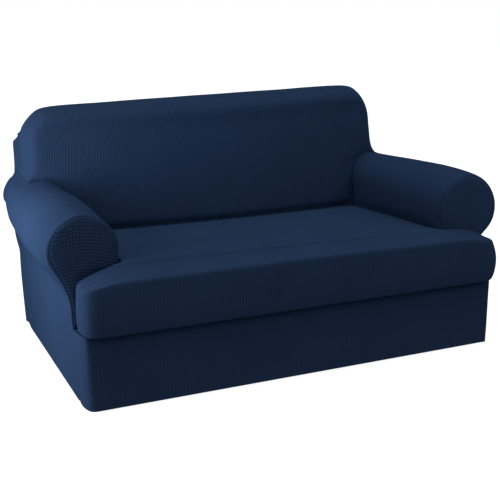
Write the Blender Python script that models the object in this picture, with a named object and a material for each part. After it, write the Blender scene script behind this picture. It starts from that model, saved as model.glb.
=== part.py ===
"""A two-piece stretch slipcover for a two-seat sofa with rolled arms.

The body cover goes over the back, the arms and the base, down to the floor. A
separate cover goes over the T-shaped seat cushion. Both keep the shape of the
padded sofa that fills them, and both are hollow. Every panel that is cut and
sewn is an object of its own, a sheet of knit SHEET thick.

Units are metres, +Z is up, the front faces -Y, and the origin is on the floor
under the middle of the cover. Each cover starts as a loose net of quads, which
is smoothed as a subdivision surface, split into its panels and given thickness.
"""

import math
from collections import namedtuple

import bmesh
import bpy
import numpy as np

# ---- Cloth ----
SHEET = 0.002  # thickness of the knit
SEAM_PULL = 0.0002  # each panel stops this far short of its seam line
REST_GAP = 0.0003  # from the seat deck up to the cushion cover
KNIT_COLOR = (0.022, 0.042, 0.095, 1.0)
KNIT_ROUGHNESS = 0.85

# ---- Base of the body cover ----
BASE_HALF_WIDTH = 0.737  # at the deck
APRON_Y = -0.486  # front plane of the apron
CORNER_RADIUS = 0.025  # the apron's front corners, in plan
DECK_Z = 0.2326  # the seat deck, hidden under the cushion
SideRow = namedtuple("SideRow", "z width_share")
SIDE_ROWS = (SideRow(0.0, 0.992), SideRow(0.12, 0.997), SideRow(DECK_Z, 1.0))
CENTRE_CELLS = 4  # quads from the middle of the cover to the inner arm

# ---- Arms ----
# Between the deck and the roll, on the outer side.
NeckRow = namedtuple("NeckRow", "z flare")
NECK_ROWS = (NeckRow(0.290, 0.0), NeckRow(0.345, 0.009))
ROLL_ANGLES = (-40, -14, 14, 45, 76, 98, 122, 148, 175)  # from straight outward, over the top
CREST_ANGLE = 76  # the back's side rises from here
FACE_TOP_ANGLES = (45, 122)  # the arm front's top runs from one to the other
# Under the roll, on the inner side: how much of the roll's overhang is left there.
InnerRow = namedtuple("InnerRow", "z overhang_share")
INNER_ROWS = (InnerRow(0.420, 0.25), InnerRow(0.360, 0.0), InnerRow(0.300, 0.0), InnerRow(DECK_Z, 0.0))
FACE_DOME = 0.003  # the round arm front stands proud by this

# The right roll is the fuller one: its radius is larger by right_extra.
ArmSection = namedtuple("ArmSection", "y centre_x centre_z radius side_x inner_x right_extra")
ARM_FRONT_SECTIONS = (
    ArmSection(-0.384, 0.690, 0.473, 0.104, 0.736, 0.594, 0.014),
    ArmSection(-0.366, 0.694, 0.473, 0.109, 0.737, 0.593, 0.015),
    ArmSection(-0.330, 0.700, 0.474, 0.114, 0.737, 0.591, 0.013),
    ArmSection(-0.220, 0.704, 0.482, 0.118, 0.737, 0.591, 0.008),
    ArmSection(-0.070, 0.704, 0.489, 0.118, 0.737, 0.591, 0.002),
    ArmSection(0.080, 0.701, 0.494, 0.114, 0.737, 0.591, 0.0),
)
ARM_BACK_SECTIONS = (
    ArmSection(0.265, 0.697, 0.499, 0.109, 0.737, 0.591, 0.0),
    ArmSection(0.320, 0.695, 0.502, 0.106, 0.737, 0.591, 0.0),
    ArmSection(0.375, 0.693, 0.505, 0.103, 0.737, 0.591, 0.0),
    ArmSection(0.435, 0.688, 0.507, 0.099, 0.736, 0.591, 0.0),
    ArmSection(0.497, 0.683, 0.508, 0.095, 0.733, 0.591, 0.0),
    ArmSection(0.517, 0.679, 0.506, 0.088, 0.725, 0.591, 0.0),
)

# ---- Back ----
# One row for each arm section behind the seat: how wide and how high the back is there,
# how far it leans back for each metre above the arm, and where its side leaves the arm.
BackSection = namedtuple("BackSection", "side_x top_z corner_radius lean foot_x")
BACK_SECTIONS = (
    BackSection(0.684, 0.828, 0.090, 0.0, 0.722),  # edge of the front face
    BackSection(0.717, 0.858, 0.115, 0.10, 0.728),
    BackSection(0.731, 0.868, 0.120, 0.06, 0.733),  # crest of the padding
    BackSection(0.716, 0.839, 0.105, 0.03, 0.735),  # hollow behind the padding
    BackSection(0.726, 0.762, 0.044, 0.0, 0.731),  # frame
    BackSection(0.718, 0.750, 0.042, 0.0, 0.723),  # rear seam
)
CORNER_ANGLES = (0, 30, 60, 90)
TOP_SHARES = (2 / 3, 1 / 3, 0.0)  # points of the top between its corner and its middle
FACE_FOOT_Y = 0.240  # edge of the front face at the seat
FACE_LEAN = 0.16  # how far it leans back for each metre above the seat
FACE_BULGE = 0.060  # padding: the middle of the face stands forward by this
FACE_HALF_WIDTH = 0.72
SEAT_Z = 0.385
BACK_TILT = 0.020  # the back's top is this much higher at one end than at its middle
BACK_TILT_FROM_Z = 0.62
BACK_TILT_FULL_Z = 0.82

# ---- Cushion cover ----
CUSHION_Z = DECK_Z + REST_GAP
CUSHION_HALF_WIDTH = 0.586
CUSHION_EAR_BACK_Y = -0.3905
CUSHION_CLEARANCE = 0.006  # from its widest outline to the back
CUSHION_CROWN = 0.010
CUSHION_CROWN_POWER = 4  # the higher, the flatter the middle of the crown
CushionRing = namedtuple("CushionRing", "inset top_share")
CUSHION_RINGS = (
    CushionRing(0.006, 1.0),  # top seam
    CushionRing(0.000, 0.55),  # widest
    CushionRing(0.001, 0.10),  # the band curls under from here
    CushionRing(0.012, 0.0),  # foot
)
# The widest outline from the middle of the back round to the middle of the front,
# with the height of the top seam at each place, and how much higher it is on the left.
# The first points stand off the back's front face by their clearance, so they name no depth.
PlanPoint = namedtuple("PlanPoint", "x y seam_z left_rise")
CUSHION_BACK_POINTS = (
    PlanPoint(0.000, None, 0.404, 0.0),
    PlanPoint(0.150, None, 0.404, 0.0),
    PlanPoint(0.300, None, 0.404, 0.0),
    PlanPoint(0.450, None, 0.403, 0.0),
    PlanPoint(0.574, None, 0.402, 0.0),
)
CUSHION_BACK_CORNER_TRIM = 0.010
CUSHION_OUTLINE = (
    PlanPoint(CUSHION_HALF_WIDTH, 0.060, 0.404, 0.000),
    PlanPoint(CUSHION_HALF_WIDTH, -0.090, 0.407, 0.002),
    PlanPoint(CUSHION_HALF_WIDTH, -0.240, 0.408, 0.010),
    PlanPoint(CUSHION_HALF_WIDTH, CUSHION_EAR_BACK_Y, 0.407, 0.026),
    PlanPoint(0.660, CUSHION_EAR_BACK_Y, 0.402, 0.006),
    PlanPoint(0.726, -0.394, 0.382, 0.002),
    PlanPoint(0.742, -0.428, 0.378, 0.002),
    PlanPoint(0.739, -0.470, 0.377, 0.000),
    PlanPoint(0.714, -0.511, 0.379, 0.001),
    PlanPoint(0.650, -0.517, 0.388, 0.004),
    PlanPoint(0.586, -0.517, 0.393, 0.002),
    PlanPoint(0.440, -0.517, 0.395, 0.001),
    PlanPoint(0.293, -0.517, 0.396, 0.001),
    PlanPoint(0.147, -0.517, 0.397, 0.000),
    PlanPoint(0.000, -0.517, 0.398, 0.000),
)
CUSHION_EAR_START = 0.60
RIGHT_EAR_STRETCH = 1.17  # each ear is this much as long as drawn
LEFT_EAR_STRETCH = 0.94
CUSHION_BACK_CELLS = 4  # quads from its middle to its side, at the back and at the front
CUSHION_SIDE_CELLS = 4
CUSHION_EAR_CELLS = 2
CUSHION_EAR_SIDE_CELLS = 3

# ---- Smoothing ----
LEVELS = 1
SETTLE_ROUNDS = 8
RELAX_ROUNDS = 60
SHARP_ANGLE = 50  # degrees; edges that turn more than this are shaded sharp
SAME_SIDE_DOT = 0.8  # faces whose normals agree this well are on one side of a fold
LEAST_FOLD = 0.3  # sides that meet at less of an angle than this count as one
# How sharp the fold is where two panels meet; elsewhere the cloth is smooth. Beside the
# back, where their seam runs from front to rear, the arm and the back meet smoothly too.
SIDE_SEAM = frozenset(("arm_wrap", "back_inside"))
FOLDS = {
    frozenset(("seat_deck", "arm_wrap")): 1.0,
    frozenset(("seat_deck", "back_inside")): 1.0,
    frozenset(("seat_deck", "front_apron")): 1.0,
    frozenset(("seat_deck", "arm_front")): 1.0,
    SIDE_SEAM: 0.6,
    frozenset(("arm_wrap", "back_outside")): 0.3,
    frozenset(("back_inside", "back_outside")): 0.3,
    frozenset(("cushion_top", "cushion_band")): 0.7,
}


class Cage:
    """Quads on shared points, each marked with the panel that it belongs to."""

    def __init__(self):
        self.points = []
        self.index_of = {}
        self.quads = []
        self.panels = []

    def index(self, point):
        """Number of the point, which is shared by every patch that touches it."""
        key = tuple(round(value, 5) for value in point)
        if key not in self.index_of:
            self.index_of[key] = len(self.points)
            self.points.append(tuple(point))
        return self.index_of[key]

    def patch(self, rows, panel):
        """Add the quads between rows of points."""
        numbers = [[self.index(point) for point in row] for row in rows]
        for row, next_row in zip(numbers, numbers[1:]):
            for column in range(len(row) - 1):
                quad = (row[column], row[column + 1], next_row[column + 1], next_row[column])
                self.quads.append(quad)
                self.panels.append(panel)


def mix(start, end, share):
    """Point at a share of the way from start to end."""
    return tuple(a + (b - a) * share for a, b in zip(start, end))


def coons(bottom, top, left, right):
    """Rows of points that fill four edges: left and right run from bottom to top."""
    rows = []
    for i, (start, end) in enumerate(zip(left, right)):
        v = i / (len(left) - 1)
        row = []
        for j, (low, high) in enumerate(zip(bottom, top)):
            u = j / (len(bottom) - 1)
            across = mix(start, end, u)
            along = mix(low, high, v)
            corners = mix(mix(bottom[0], bottom[-1], u), mix(top[0], top[-1], u), v)
            row.append(tuple(a + b - c for a, b, c in zip(across, along, corners)))
        rows.append(row)
    return rows


def relaxed(rows):
    """The rows, with the points inside their four edges spread evenly."""
    grid = np.array(rows)
    for _ in range(RELAX_ROUNDS):
        beside = grid[1:-1, :-2] + grid[1:-1, 2:]
        above_below = grid[:-2, 1:-1] + grid[2:, 1:-1]
        grid[1:-1, 1:-1] = (beside + above_below) / 4
    return [[tuple(point) for point in row] for row in grid.tolist()]


class Half:
    """One side of a cage, +1 or -1; its rows are given as they run on the +1 side."""

    def __init__(self, cage, side):
        self.cage = cage
        self.side = side

    def patch(self, rows, panel):
        """Add the quads between rows of points to a panel that spans both sides."""
        mirrored = [[(self.side * x, y, z) for x, y, z in row] for row in rows]
        self.cage.patch(mirrored, panel)

    def own_patch(self, rows, panel):
        """Add the quads between rows of points to this side's own panel."""
        self.patch(rows, panel + ("_right" if self.side > 0 else "_left"))


def face_y(x, z):
    """Depth of the back's front face at a place on it."""
    rise = max(z - SEAT_Z, 0.0)
    padding = FACE_BULGE * (1.0 - (x / FACE_HALF_WIDTH) ** 2)
    return FACE_FOOT_Y + FACE_LEAN * rise - padding * (1.0 - rise)


def on_face(row):
    """The points, moved in depth onto the back's front face."""
    return [(x, face_y(x, z), z) for x, _, z in row]


def arm_profile(section, side):
    """Points of an arm section, from the floor over the roll and down to the deck."""
    extra = section.right_extra if side > 0 else 0.0
    centre_x = section.centre_x + extra
    radius = section.radius + extra
    profile = []
    for row in SIDE_ROWS:
        profile.append((section.side_x * row.width_share, section.y, row.z))
    for row in NECK_ROWS:
        profile.append((section.side_x + row.flare, section.y, row.z))
    for degrees in ROLL_ANGLES:
        angle = math.radians(degrees)
        x = centre_x + radius * math.cos(angle)
        z = section.centre_z + radius * math.sin(angle)
        profile.append((x, section.y, z))
    overhang = section.inner_x - (centre_x - radius)
    for row in INNER_ROWS:
        profile.append((section.inner_x - overhang * row.overhang_share, section.y, row.z))
    return profile


# Places in an arm profile.
DECK_PLACE = len(SIDE_ROWS) - 1
FACE_TOP_OUTER = DECK_PLACE + len(NECK_ROWS) + ROLL_ANGLES.index(FACE_TOP_ANGLES[0]) + 1
FACE_TOP_INNER = DECK_PLACE + len(NECK_ROWS) + ROLL_ANGLES.index(FACE_TOP_ANGLES[1]) + 1
CREST_PLACE = DECK_PLACE + len(NECK_ROWS) + ROLL_ANGLES.index(CREST_ANGLE) + 1


def back_outline(section, crest):
    """Points of a back section, from the arm's crest up its side and over to its middle."""
    corner_x = section.side_x - section.corner_radius
    corner_z = section.top_z - section.corner_radius
    rise = [(section.side_x, (crest[2] + corner_z) / 2)]
    for degrees in CORNER_ANGLES:
        angle = math.radians(degrees)
        x = corner_x + section.corner_radius * math.cos(angle)
        z = corner_z + section.corner_radius * math.sin(angle)
        rise.append((x, z))
    for share in TOP_SHARES:
        rise.append((corner_x * share, section.top_z))
    return [crest] + [(x, crest[1] + section.lean * (z - crest[2]), z) for x, z in rise]


# Place in a back outline where its side ends and its top begins.
BACK_CORNER_PLACE = len(CORNER_ANGLES)


def centre_row(edge_point):
    """Points from the middle of the cover straight out to a point."""
    x, y, z = edge_point
    return [(x * k / CENTRE_CELLS, y, z) for k in range(CENTRE_CELLS + 1)]


def column_between(foot, top, count):
    """Evenly spaced points from foot to top."""
    return [mix(foot, top, k / (count - 1)) for k in range(count)]


def add_back(half, meeting, outer_rows):
    """Add the inside and the outside back between the arms, and return the face's foot."""
    outlines = []
    for section, row in zip(BACK_SECTIONS, outer_rows):
        outlines.append(back_outline(section, row[CREST_PLACE]))
    outlines[0] = on_face(outlines[0])
    half.patch(outlines, "back_inside")

    foot = on_face(centre_row(meeting[-1]))
    edge = meeting[CREST_PLACE:][::-1] + outlines[0][1 : BACK_CORNER_PLACE + 1]
    top = outlines[0][BACK_CORNER_PLACE:][::-1]
    face = coons(foot, top, column_between(foot[0], top[0], len(edge)), edge)
    face = [on_face(row[:-1]) + row[-1:] for row in face[:-1]] + face[-1:]
    half.patch(face, "back_inside")

    rear_edge = outer_rows[-1] + outlines[-1][1 : BACK_CORNER_PLACE + 1]
    rear_top = outlines[-1][BACK_CORNER_PLACE:][::-1]
    rear_foot = centre_row(rear_edge[0])
    rear_middle = column_between(rear_foot[0], rear_top[0], len(rear_edge))
    half.patch(relaxed(coons(rear_foot, rear_top, rear_middle, rear_edge)), "back_outside")
    return foot


def add_arm_front(half, seam):
    """Add the round front of an arm inside its seam, and return its foot on the deck."""
    outer = seam[DECK_PLACE : FACE_TOP_OUTER + 1]
    top = seam[FACE_TOP_OUTER : FACE_TOP_INNER + 1]
    inner = seam[FACE_TOP_INNER:][::-1]
    foot = column_between(outer[0], inner[0], len(top))
    rows = coons(foot, top, outer, inner)
    for row in rows[2:-1]:
        row[1:-1] = [(x, y - FACE_DOME, z) for x, y, z in row[1:-1]]
    half.own_patch(rows, "arm_front")
    return foot


def add_deck(half, face_foot, inner_rows, back_foot):
    """Add the seat deck and return its front edge, from the arm front's seam to the middle."""
    diagonal = CORNER_RADIUS * (1.0 - math.sqrt(0.5))
    corner = (BASE_HALF_WIDTH - diagonal, APRON_Y + diagonal, DECK_Z)
    side = [face_foot[0], (BASE_HALF_WIDTH, (face_foot[0][1] + corner[1]) / 2, DECK_Z), corner]
    straight = (BASE_HALF_WIDTH - CORNER_RADIUS, APRON_Y, DECK_Z)
    front_end = (face_foot[-1][0], APRON_Y, DECK_Z)
    front = [corner] + column_between(straight, front_end, len(face_foot) - 1)
    inner = column_between(face_foot[-1], front_end, len(side))
    half.patch(coons(face_foot, front, side, inner), "seat_deck")

    deck_edge = inner[::-1] + [row[-1] for row in inner_rows[1:-1]]
    deck = [centre_row(point) for point in deck_edge] + [back_foot]
    half.patch(deck, "seat_deck")
    return side + front[1:] + deck[0][-2::-1]


def add_body_half(half):
    """Add the half of the body cover on one side."""
    front = [arm_profile(section, half.side) for section in ARM_FRONT_SECTIONS]
    behind = []
    for section, back_section in zip(ARM_BACK_SECTIONS, BACK_SECTIONS):
        profile = arm_profile(section, half.side)
        profile[CREST_PLACE] = (back_section.foot_x, section.y, profile[CREST_PLACE][2])
        behind.append(profile)
    # Inside the arm the wrap stops at the back's front face; outside it goes on to the rear.
    meeting = behind[0][:CREST_PLACE] + on_face(behind[0][CREST_PLACE:])
    inner_rows = front + [meeting]
    outer_rows = [row[: CREST_PLACE + 1] for row in [meeting] + behind[1:]]
    half.own_patch(inner_rows, "arm_wrap")
    half.own_patch(outer_rows, "arm_wrap")

    back_foot = add_back(half, meeting, outer_rows)
    face_foot = add_arm_front(half, front[0])
    deck_front = add_deck(half, face_foot, inner_rows, back_foot)
    apron = [[(x * row.width_share, y, row.z) for x, y, _ in deck_front] for row in SIDE_ROWS]
    half.patch(apron, "front_apron")


def inset_ring(outline, distance):
    """The closed outline, drawn in by a distance with its corners mitred."""
    ring = []
    for before, here, after in zip(outline[-1:] + outline[:-1], outline, outline[1:] + outline[:1]):
        first = np.subtract(here, before)
        second = np.subtract(after, here)
        first_in = np.array((first[1], -first[0])) / np.linalg.norm(first)
        second_in = np.array((second[1], -second[0])) / np.linalg.norm(second)
        shift = (first_in + second_in) / (1.0 + first_in @ second_in)
        ring.append(tuple(np.add(here, shift * distance)))
    return ring


def cushion_half(side):
    """The widest outline of one half of the cushion, with the height of its top seam."""
    stretch = RIGHT_EAR_STRETCH if side > 0 else LEFT_EAR_STRETCH
    half = []
    for point in CUSHION_BACK_POINTS:
        y = face_y(point.x, SEAT_Z) - CUSHION_CLEARANCE
        half.append((point.x, y, point.seam_z))
    x, y, z = half[-1]
    half[-1] = (x, y - CUSHION_BACK_CORNER_TRIM, z)
    for point in CUSHION_OUTLINE:
        ear = max(point.x - CUSHION_EAR_START, 0.0) * stretch
        seam_z = point.seam_z + (point.left_rise if side < 0 else 0.0)
        half.append((min(point.x, CUSHION_EAR_START) + ear, point.y, seam_z))
    return half


def crowned(rows):
    """The rows, but for the last, with all but their ends raised by the cushion's crown."""
    half_width = max(point.x for point in CUSHION_OUTLINE)
    front_y = CUSHION_OUTLINE[-1].y
    middle_y = (FACE_FOOT_Y + front_y) / 2
    raised = []
    for row in rows[:-1]:
        middle = []
        for x, y, z in row[1:-1]:
            across = abs(x / half_width) ** CUSHION_CROWN_POWER
            along = abs((y - middle_y) / (middle_y - front_y)) ** CUSHION_CROWN_POWER
            middle.append((x, y, z + CUSHION_CROWN * max((1.0 - across) * (1.0 - along), 0.0)))
        raised.append(row[:1] + middle + row[-1:])
    return raised + rows[-1:]


def add_cushion(cage):
    """Add the cushion cover: its top and the band round it, which is open underneath."""
    half = cushion_half(1)
    outline = half + [(-x, y, z) for x, y, z in cushion_half(-1)[-2:0:-1]]
    rings = []
    for ring in CUSHION_RINGS:
        plan = inset_ring([(x, y) for x, y, _ in outline], ring.inset)
        heights = [CUSHION_Z + (seam_z - CUSHION_Z) * ring.top_share for _, _, seam_z in outline]
        rings.append([(x, y, z) for (x, y), z in zip(plan, heights)])
    cage.patch([ring + ring[:1] for ring in rings], "cushion_band")
    top = rings[0]

    back_corner = CUSHION_BACK_CELLS
    inner_corner = back_corner + CUSHION_SIDE_CELLS
    ear_back = inner_corner + CUSHION_EAR_CELLS
    ear_front = ear_back + CUSHION_EAR_SIDE_CELLS
    count = len(top)

    def run(start, end):
        """Points of the top seam from one place to another, counted past the middle."""
        step = 1 if end > start else -1
        return [top[place % count] for place in range(start, end + step, step)]

    left, right = top[-inner_corner], top[inner_corner]
    back_edge = run(-back_corner, back_corner)
    line = column_between(left, right, len(back_edge))
    seat = coons(line, back_edge, run(-inner_corner, -back_corner), run(inner_corner, back_corner))
    seat = crowned(seat)
    cage.patch(seat, "cushion_top")

    rear = run(-ear_back, -inner_corner)[:-1] + seat[0] + run(inner_corner, ear_back)[1:]
    front_edge = run(count - ear_front, ear_front)
    ears = coons(rear, front_edge, run(-ear_back, -ear_front), run(ear_back, ear_front))
    cage.patch([rear] + crowned(ears)[1:], "cushion_top")


def fold_at(edge, panels):
    """Sharpness of the fold along an edge, by the kind of each panel that meets there."""
    kinds = frozenset(name.removesuffix("_left").removesuffix("_right") for name in panels)
    depth = abs(edge.verts[1].co.y - edge.verts[0].co.y)
    if kinds == SIDE_SEAM and depth > edge.calc_length() / 2:
        return 0.0
    return FOLDS.get(kinds, 0.0)


def smoothed(cage, up_panel):
    """Mesh of the cage as a smooth surface through its points, with its panels as materials."""
    names = sorted(set(cage.panels))
    mesh = bpy.data.meshes.new("cage")
    mesh.from_pydata(cage.points, [], cage.quads)
    for polygon, panel in zip(mesh.polygons, cage.panels):
        polygon.material_index = names.index(panel)
    for name in names:
        mesh.materials.append(bpy.data.materials.new("tag_" + name))

    shell = bmesh.new()
    shell.from_mesh(mesh)
    bmesh.ops.recalc_face_normals(shell, faces=shell.faces)
    facing = sum(face.normal.z for face in shell.faces if names[face.material_index] == up_panel)
    if facing < 0:
        bmesh.ops.reverse_faces(shell, faces=shell.faces)
    crease = shell.edges.layers.float.new("crease_edge")
    for edge in shell.edges:
        panels = {names[face.material_index] for face in edge.link_faces}
        edge[crease] = fold_at(edge, panels)
    shell.to_mesh(mesh)
    shell.free()

    cage_object = bpy.data.objects.new("cage", mesh)
    bpy.context.scene.collection.objects.link(cage_object)
    subdivision = cage_object.modifiers.new("smooth", "SUBSURF")
    subdivision.levels = LEVELS
    subdivision.render_levels = LEVELS
    subdivision.boundary_smooth = "PRESERVE_CORNERS"
    through = np.array(cage.points)
    control = through.copy()
    for _ in range(SETTLE_ROUNDS):
        reached = evaluated_points(cage_object)[: len(through)]
        control += through - reached
        mesh.vertices.foreach_set("co", control.ravel())
        mesh.update()
    graph = bpy.context.evaluated_depsgraph_get()
    cloth = bpy.data.meshes.new_from_object(cage_object.evaluated_get(graph))
    bpy.data.objects.remove(cage_object)
    return cloth, names


def evaluated_points(cage_object):
    """Where the object's modifiers put its points."""
    graph = bpy.context.evaluated_depsgraph_get()
    graph.update()
    evaluated = cage_object.evaluated_get(graph)
    mesh = evaluated.to_mesh()
    points = np.empty(len(mesh.vertices) * 3)
    mesh.vertices.foreach_get("co", points)
    evaluated.to_mesh_clear()
    return points.reshape(-1, 3)


def fold_sides(vert):
    """Mean normal of each group of faces round the point that lie much the same way."""
    groups = []
    for face in vert.link_faces:
        normal = np.array(face.normal)
        for group in groups:
            if group[0] @ normal > SAME_SIDE_DOT:
                group.append(normal)
                break
        else:
            groups.append([normal])
    means = [np.mean(group, axis=0) for group in groups]
    return [mean / np.linalg.norm(mean) for mean in means]


def inner_offsets(shell):
    """From each point of the outer surface to the inner one, SHEET behind every side of a fold."""
    offsets = {}
    for vert in shell.verts:
        sides = np.array(fold_sides(vert))
        depths = np.full(len(sides), -SHEET)
        offset = np.linalg.lstsq(sides, depths, rcond=LEAST_FOLD)[0]
        if vert.is_boundary and abs(vert.co.z) < SHEET:
            offset[2] = 0.0
        offsets[vert.index] = offset
    return offsets


def seam_shift(vert, faces):
    """How far the point moves off its seam, into the panel made of the faces."""
    inward = []
    for edge in vert.link_edges:
        own = [face for face in edge.link_faces if face in faces]
        if len(own) != 1 or edge.is_boundary:
            continue
        face = own[0]
        along = (edge.verts[1].co - edge.verts[0].co).normalized()
        direction = face.normal.cross(along)
        if direction.dot(face.calc_center_median() - vert.co) < 0:
            direction = -direction
        inward.append(np.array(direction))
    if not inward:
        return np.zeros(3)
    if len(inward) == 1:
        return inward[0] * SEAM_PULL
    total = inward[0] + inward[1]
    return total * SEAM_PULL / (1.0 + float(inward[0] @ inward[1]))


def knit_material(name):
    """The cover's knit, as one panel wears it."""
    material = bpy.data.materials.new(name)
    material.use_nodes = True
    shader = material.node_tree.nodes["Principled BSDF"]
    shader.inputs["Base Color"].default_value = KNIT_COLOR
    shader.inputs["Roughness"].default_value = KNIT_ROUGHNESS
    shader.inputs["Metallic"].default_value = 0.0
    return material


def add_panel(name, faces, offsets):
    """Add one panel: its outer surface, its inner surface and the edges that join them."""
    outer_number = {}
    points = []
    for face in faces:
        for vert in face.verts:
            if vert.index not in outer_number:
                outer_number[vert.index] = len(points)
                points.append(np.array(vert.co) + seam_shift(vert, faces))
    count = len(points)
    inner = [None] * count
    for index, number in outer_number.items():
        inner[number] = points[number] + offsets[index]
    quads = []
    for face in faces:
        loop = [outer_number[vert.index] for vert in face.verts]
        quads.append(loop)
        quads.append([number + count for number in reversed(loop)])
        for corner in face.loops:
            if len([other for other in corner.edge.link_faces if other in faces]) > 1:
                continue
            start, end = corner.vert, corner.link_loop_next.vert
            first, second = outer_number[start.index], outer_number[end.index]
            # The same way of cutting each edge quad in two on both sides of a seam.
            if start.index < end.index:
                quads.append([second, first, second + count])
                quads.append([first, first + count, second + count])
            else:
                quads.append([second, first, first + count])
                quads.append([second, first + count, second + count])

    mesh = bpy.data.meshes.new(name)
    mesh.from_pydata([tuple(point) for point in points + inner], [], quads)
    mesh.validate()
    mesh.materials.append(knit_material(name))
    mesh.shade_smooth()
    mesh.set_sharp_from_angle(angle=math.radians(SHARP_ANGLE))
    panel = bpy.data.objects.new(name, mesh)
    bpy.context.scene.collection.objects.link(panel)


def lean_back_top(shell):
    """Raise one end of the back's top, which is not quite level."""
    for vert in shell.verts:
        height = (vert.co.z - BACK_TILT_FROM_Z) / (BACK_TILT_FULL_Z - BACK_TILT_FROM_Z)
        vert.co.z += BACK_TILT * min(max(height, 0.0), 1.0) * vert.co.x / BASE_HALF_WIDTH


def sew(cage, up_panel, finish=None):
    """Turn a cage into one object for each of its panels."""
    cloth, names = smoothed(cage, up_panel)
    shell = bmesh.new()
    shell.from_mesh(cloth)
    if finish:
        finish(shell)
    shell.normal_update()
    shell.verts.index_update()
    offsets = inner_offsets(shell)
    for number, name in enumerate(names):
        # A dict, so that the faces keep their order and are found at once.
        faces = {face: True for face in shell.faces if face.material_index == number}
        add_panel(name, faces, offsets)
    shell.free()
    bpy.data.meshes.remove(cloth)


def main():
    """Empty the scene and build both covers."""
    for scene_object in list(bpy.data.objects):
        bpy.data.objects.remove(scene_object)
    body = Cage()
    for side in (1, -1):
        add_body_half(Half(body, side))
    sew(body, "seat_deck", lean_back_top)
    cushion = Cage()
    add_cushion(cushion)
    sew(cushion, "cushion_top")


main()
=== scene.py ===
"""A two-piece stretch slipcover for a rolled-arm sofa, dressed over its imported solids.

The body cover and the cushion cover are each one smooth surface, laid out from
named sections. The surface gets its folds, is cut into the panels that a maker
sews, and each panel becomes a sheet of waffle knit whose edges roll into its
seams. Lengths are metres, +Z is up and the front faces -Y.
"""

import logging
import math
from collections.abc import Iterable, Sequence
from dataclasses import dataclass, field, replace
from enum import Enum

import bmesh
import bpy
import numpy as np
from mathutils import Matrix, Vector, kdtree, noise


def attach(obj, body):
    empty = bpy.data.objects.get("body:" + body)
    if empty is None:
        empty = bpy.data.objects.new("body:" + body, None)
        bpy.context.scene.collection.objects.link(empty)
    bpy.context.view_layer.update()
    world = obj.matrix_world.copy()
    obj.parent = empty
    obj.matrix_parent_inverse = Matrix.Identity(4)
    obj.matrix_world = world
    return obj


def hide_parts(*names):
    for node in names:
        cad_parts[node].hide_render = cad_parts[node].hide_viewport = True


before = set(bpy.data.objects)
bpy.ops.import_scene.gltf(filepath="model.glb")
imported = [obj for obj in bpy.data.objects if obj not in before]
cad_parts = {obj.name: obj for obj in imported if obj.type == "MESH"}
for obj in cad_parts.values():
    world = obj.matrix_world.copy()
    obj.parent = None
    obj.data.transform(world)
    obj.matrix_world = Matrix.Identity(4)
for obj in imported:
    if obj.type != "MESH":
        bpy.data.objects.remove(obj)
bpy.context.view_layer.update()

LOG = logging.getLogger("slipcover")

Point = tuple[float, float, float]
Row = list[Point]
Pair = tuple[float, float]
Cloth = Pair
Color = tuple[float, float, float]
Array = np.ndarray

TINY = 1e-12
# Height of the seat deck, gap between it and the cushion's cover, depth of the front.
DECK_Z = 0.2326
REST_GAP = 0.0003
APRON_Y = -0.486


class Panel(Enum):
    """A panel of the covers, by the name of its solid."""

    ARM_WRAP_LEFT = "arm_wrap_left"
    ARM_WRAP_RIGHT = "arm_wrap_right"
    ARM_FRONT_LEFT = "arm_front_left"
    ARM_FRONT_RIGHT = "arm_front_right"
    FRONT_APRON = "front_apron"
    SEAT_DECK = "seat_deck"
    BACK_INSIDE = "back_inside"
    BACK_OUTSIDE = "back_outside"
    CUSHION_TOP = "cushion_top"
    CUSHION_BAND = "cushion_band"


class Side(Enum):
    """A side of the cover, as its panels name it."""

    RIGHT = "right"
    LEFT = "left"


# ---- Small helpers ----


def add_object(name: str, data: bpy.types.ID) -> bpy.types.Object:
    """Put a new object into the scene."""
    item = bpy.data.objects.new(name, data)
    bpy.context.scene.collection.objects.link(item)
    return item


def plain_mesh(source: bpy.types.Object) -> bpy.types.Mesh:
    """The object's shape with its modifiers applied, as a new mesh."""
    graph = bpy.context.evaluated_depsgraph_get()
    graph.update()
    return bpy.data.meshes.new_from_object(source.evaluated_get(graph))


def column(items: bpy.types.bpy_prop_collection, name: str, width: int, kind: type) -> Array:
    """One property of all the items, as an array with a row for each."""
    values = np.empty(len(items) * width, dtype=kind)
    items.foreach_get(name, values)
    return values.reshape(-1, width)


def mix(start: Sequence[float], end: Sequence[float], share: float) -> tuple[float, ...]:
    """Point at a share of the way from start to end."""
    return tuple(a + (b - a) * share for a, b in zip(start, end))


def smooth_step(value: Array) -> Array:
    """Smooth rise from 0 at 0 to 1 at 1."""
    t = np.clip(value, 0.0, 1.0)
    return t * t * (3.0 - 2.0 * t)


def unit(vectors: Array) -> Array:
    """The vectors, each at length 1."""
    return vectors / np.maximum(np.linalg.norm(vectors, axis=-1, keepdims=True), TINY)


def summed_at(indices: Array, values: Array, count: int) -> Array:
    """Sum of the values that share an index, for each index below count."""
    total = np.zeros((count, *values.shape[1:]))
    np.add.at(total, indices, values)
    return total


def quad_vectors(points: Array, quads: Array) -> Array:
    """Outward vector of each quad, as long as twice its area."""
    first, second, third, fourth = (points[corner] for corner in quads.T)
    return np.cross(third - first, fourth - second)


def mean_normals(points: Array, quads: Array) -> Array:
    """Normal at each point: the mean of its quads' normals by their areas."""
    vectors = quad_vectors(points, quads)
    return unit(summed_at(quads.T.ravel(), np.tile(vectors, (4, 1)), len(points)))


def quad_edges(quads: Array) -> tuple[Array, Array]:
    """First and last points of the quads' edges, four for each quad."""
    return quads.ravel(), np.roll(quads, -1, axis=1).ravel()


def edge_codes(quads: Array, count: int) -> Array:
    """One number for each edge of each quad, whichever way it runs, of count points."""
    starts, ends = quad_edges(quads)
    return np.minimum(starts, ends) * count + np.maximum(starts, ends)


# ---- Sections of the body cover ----


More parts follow.
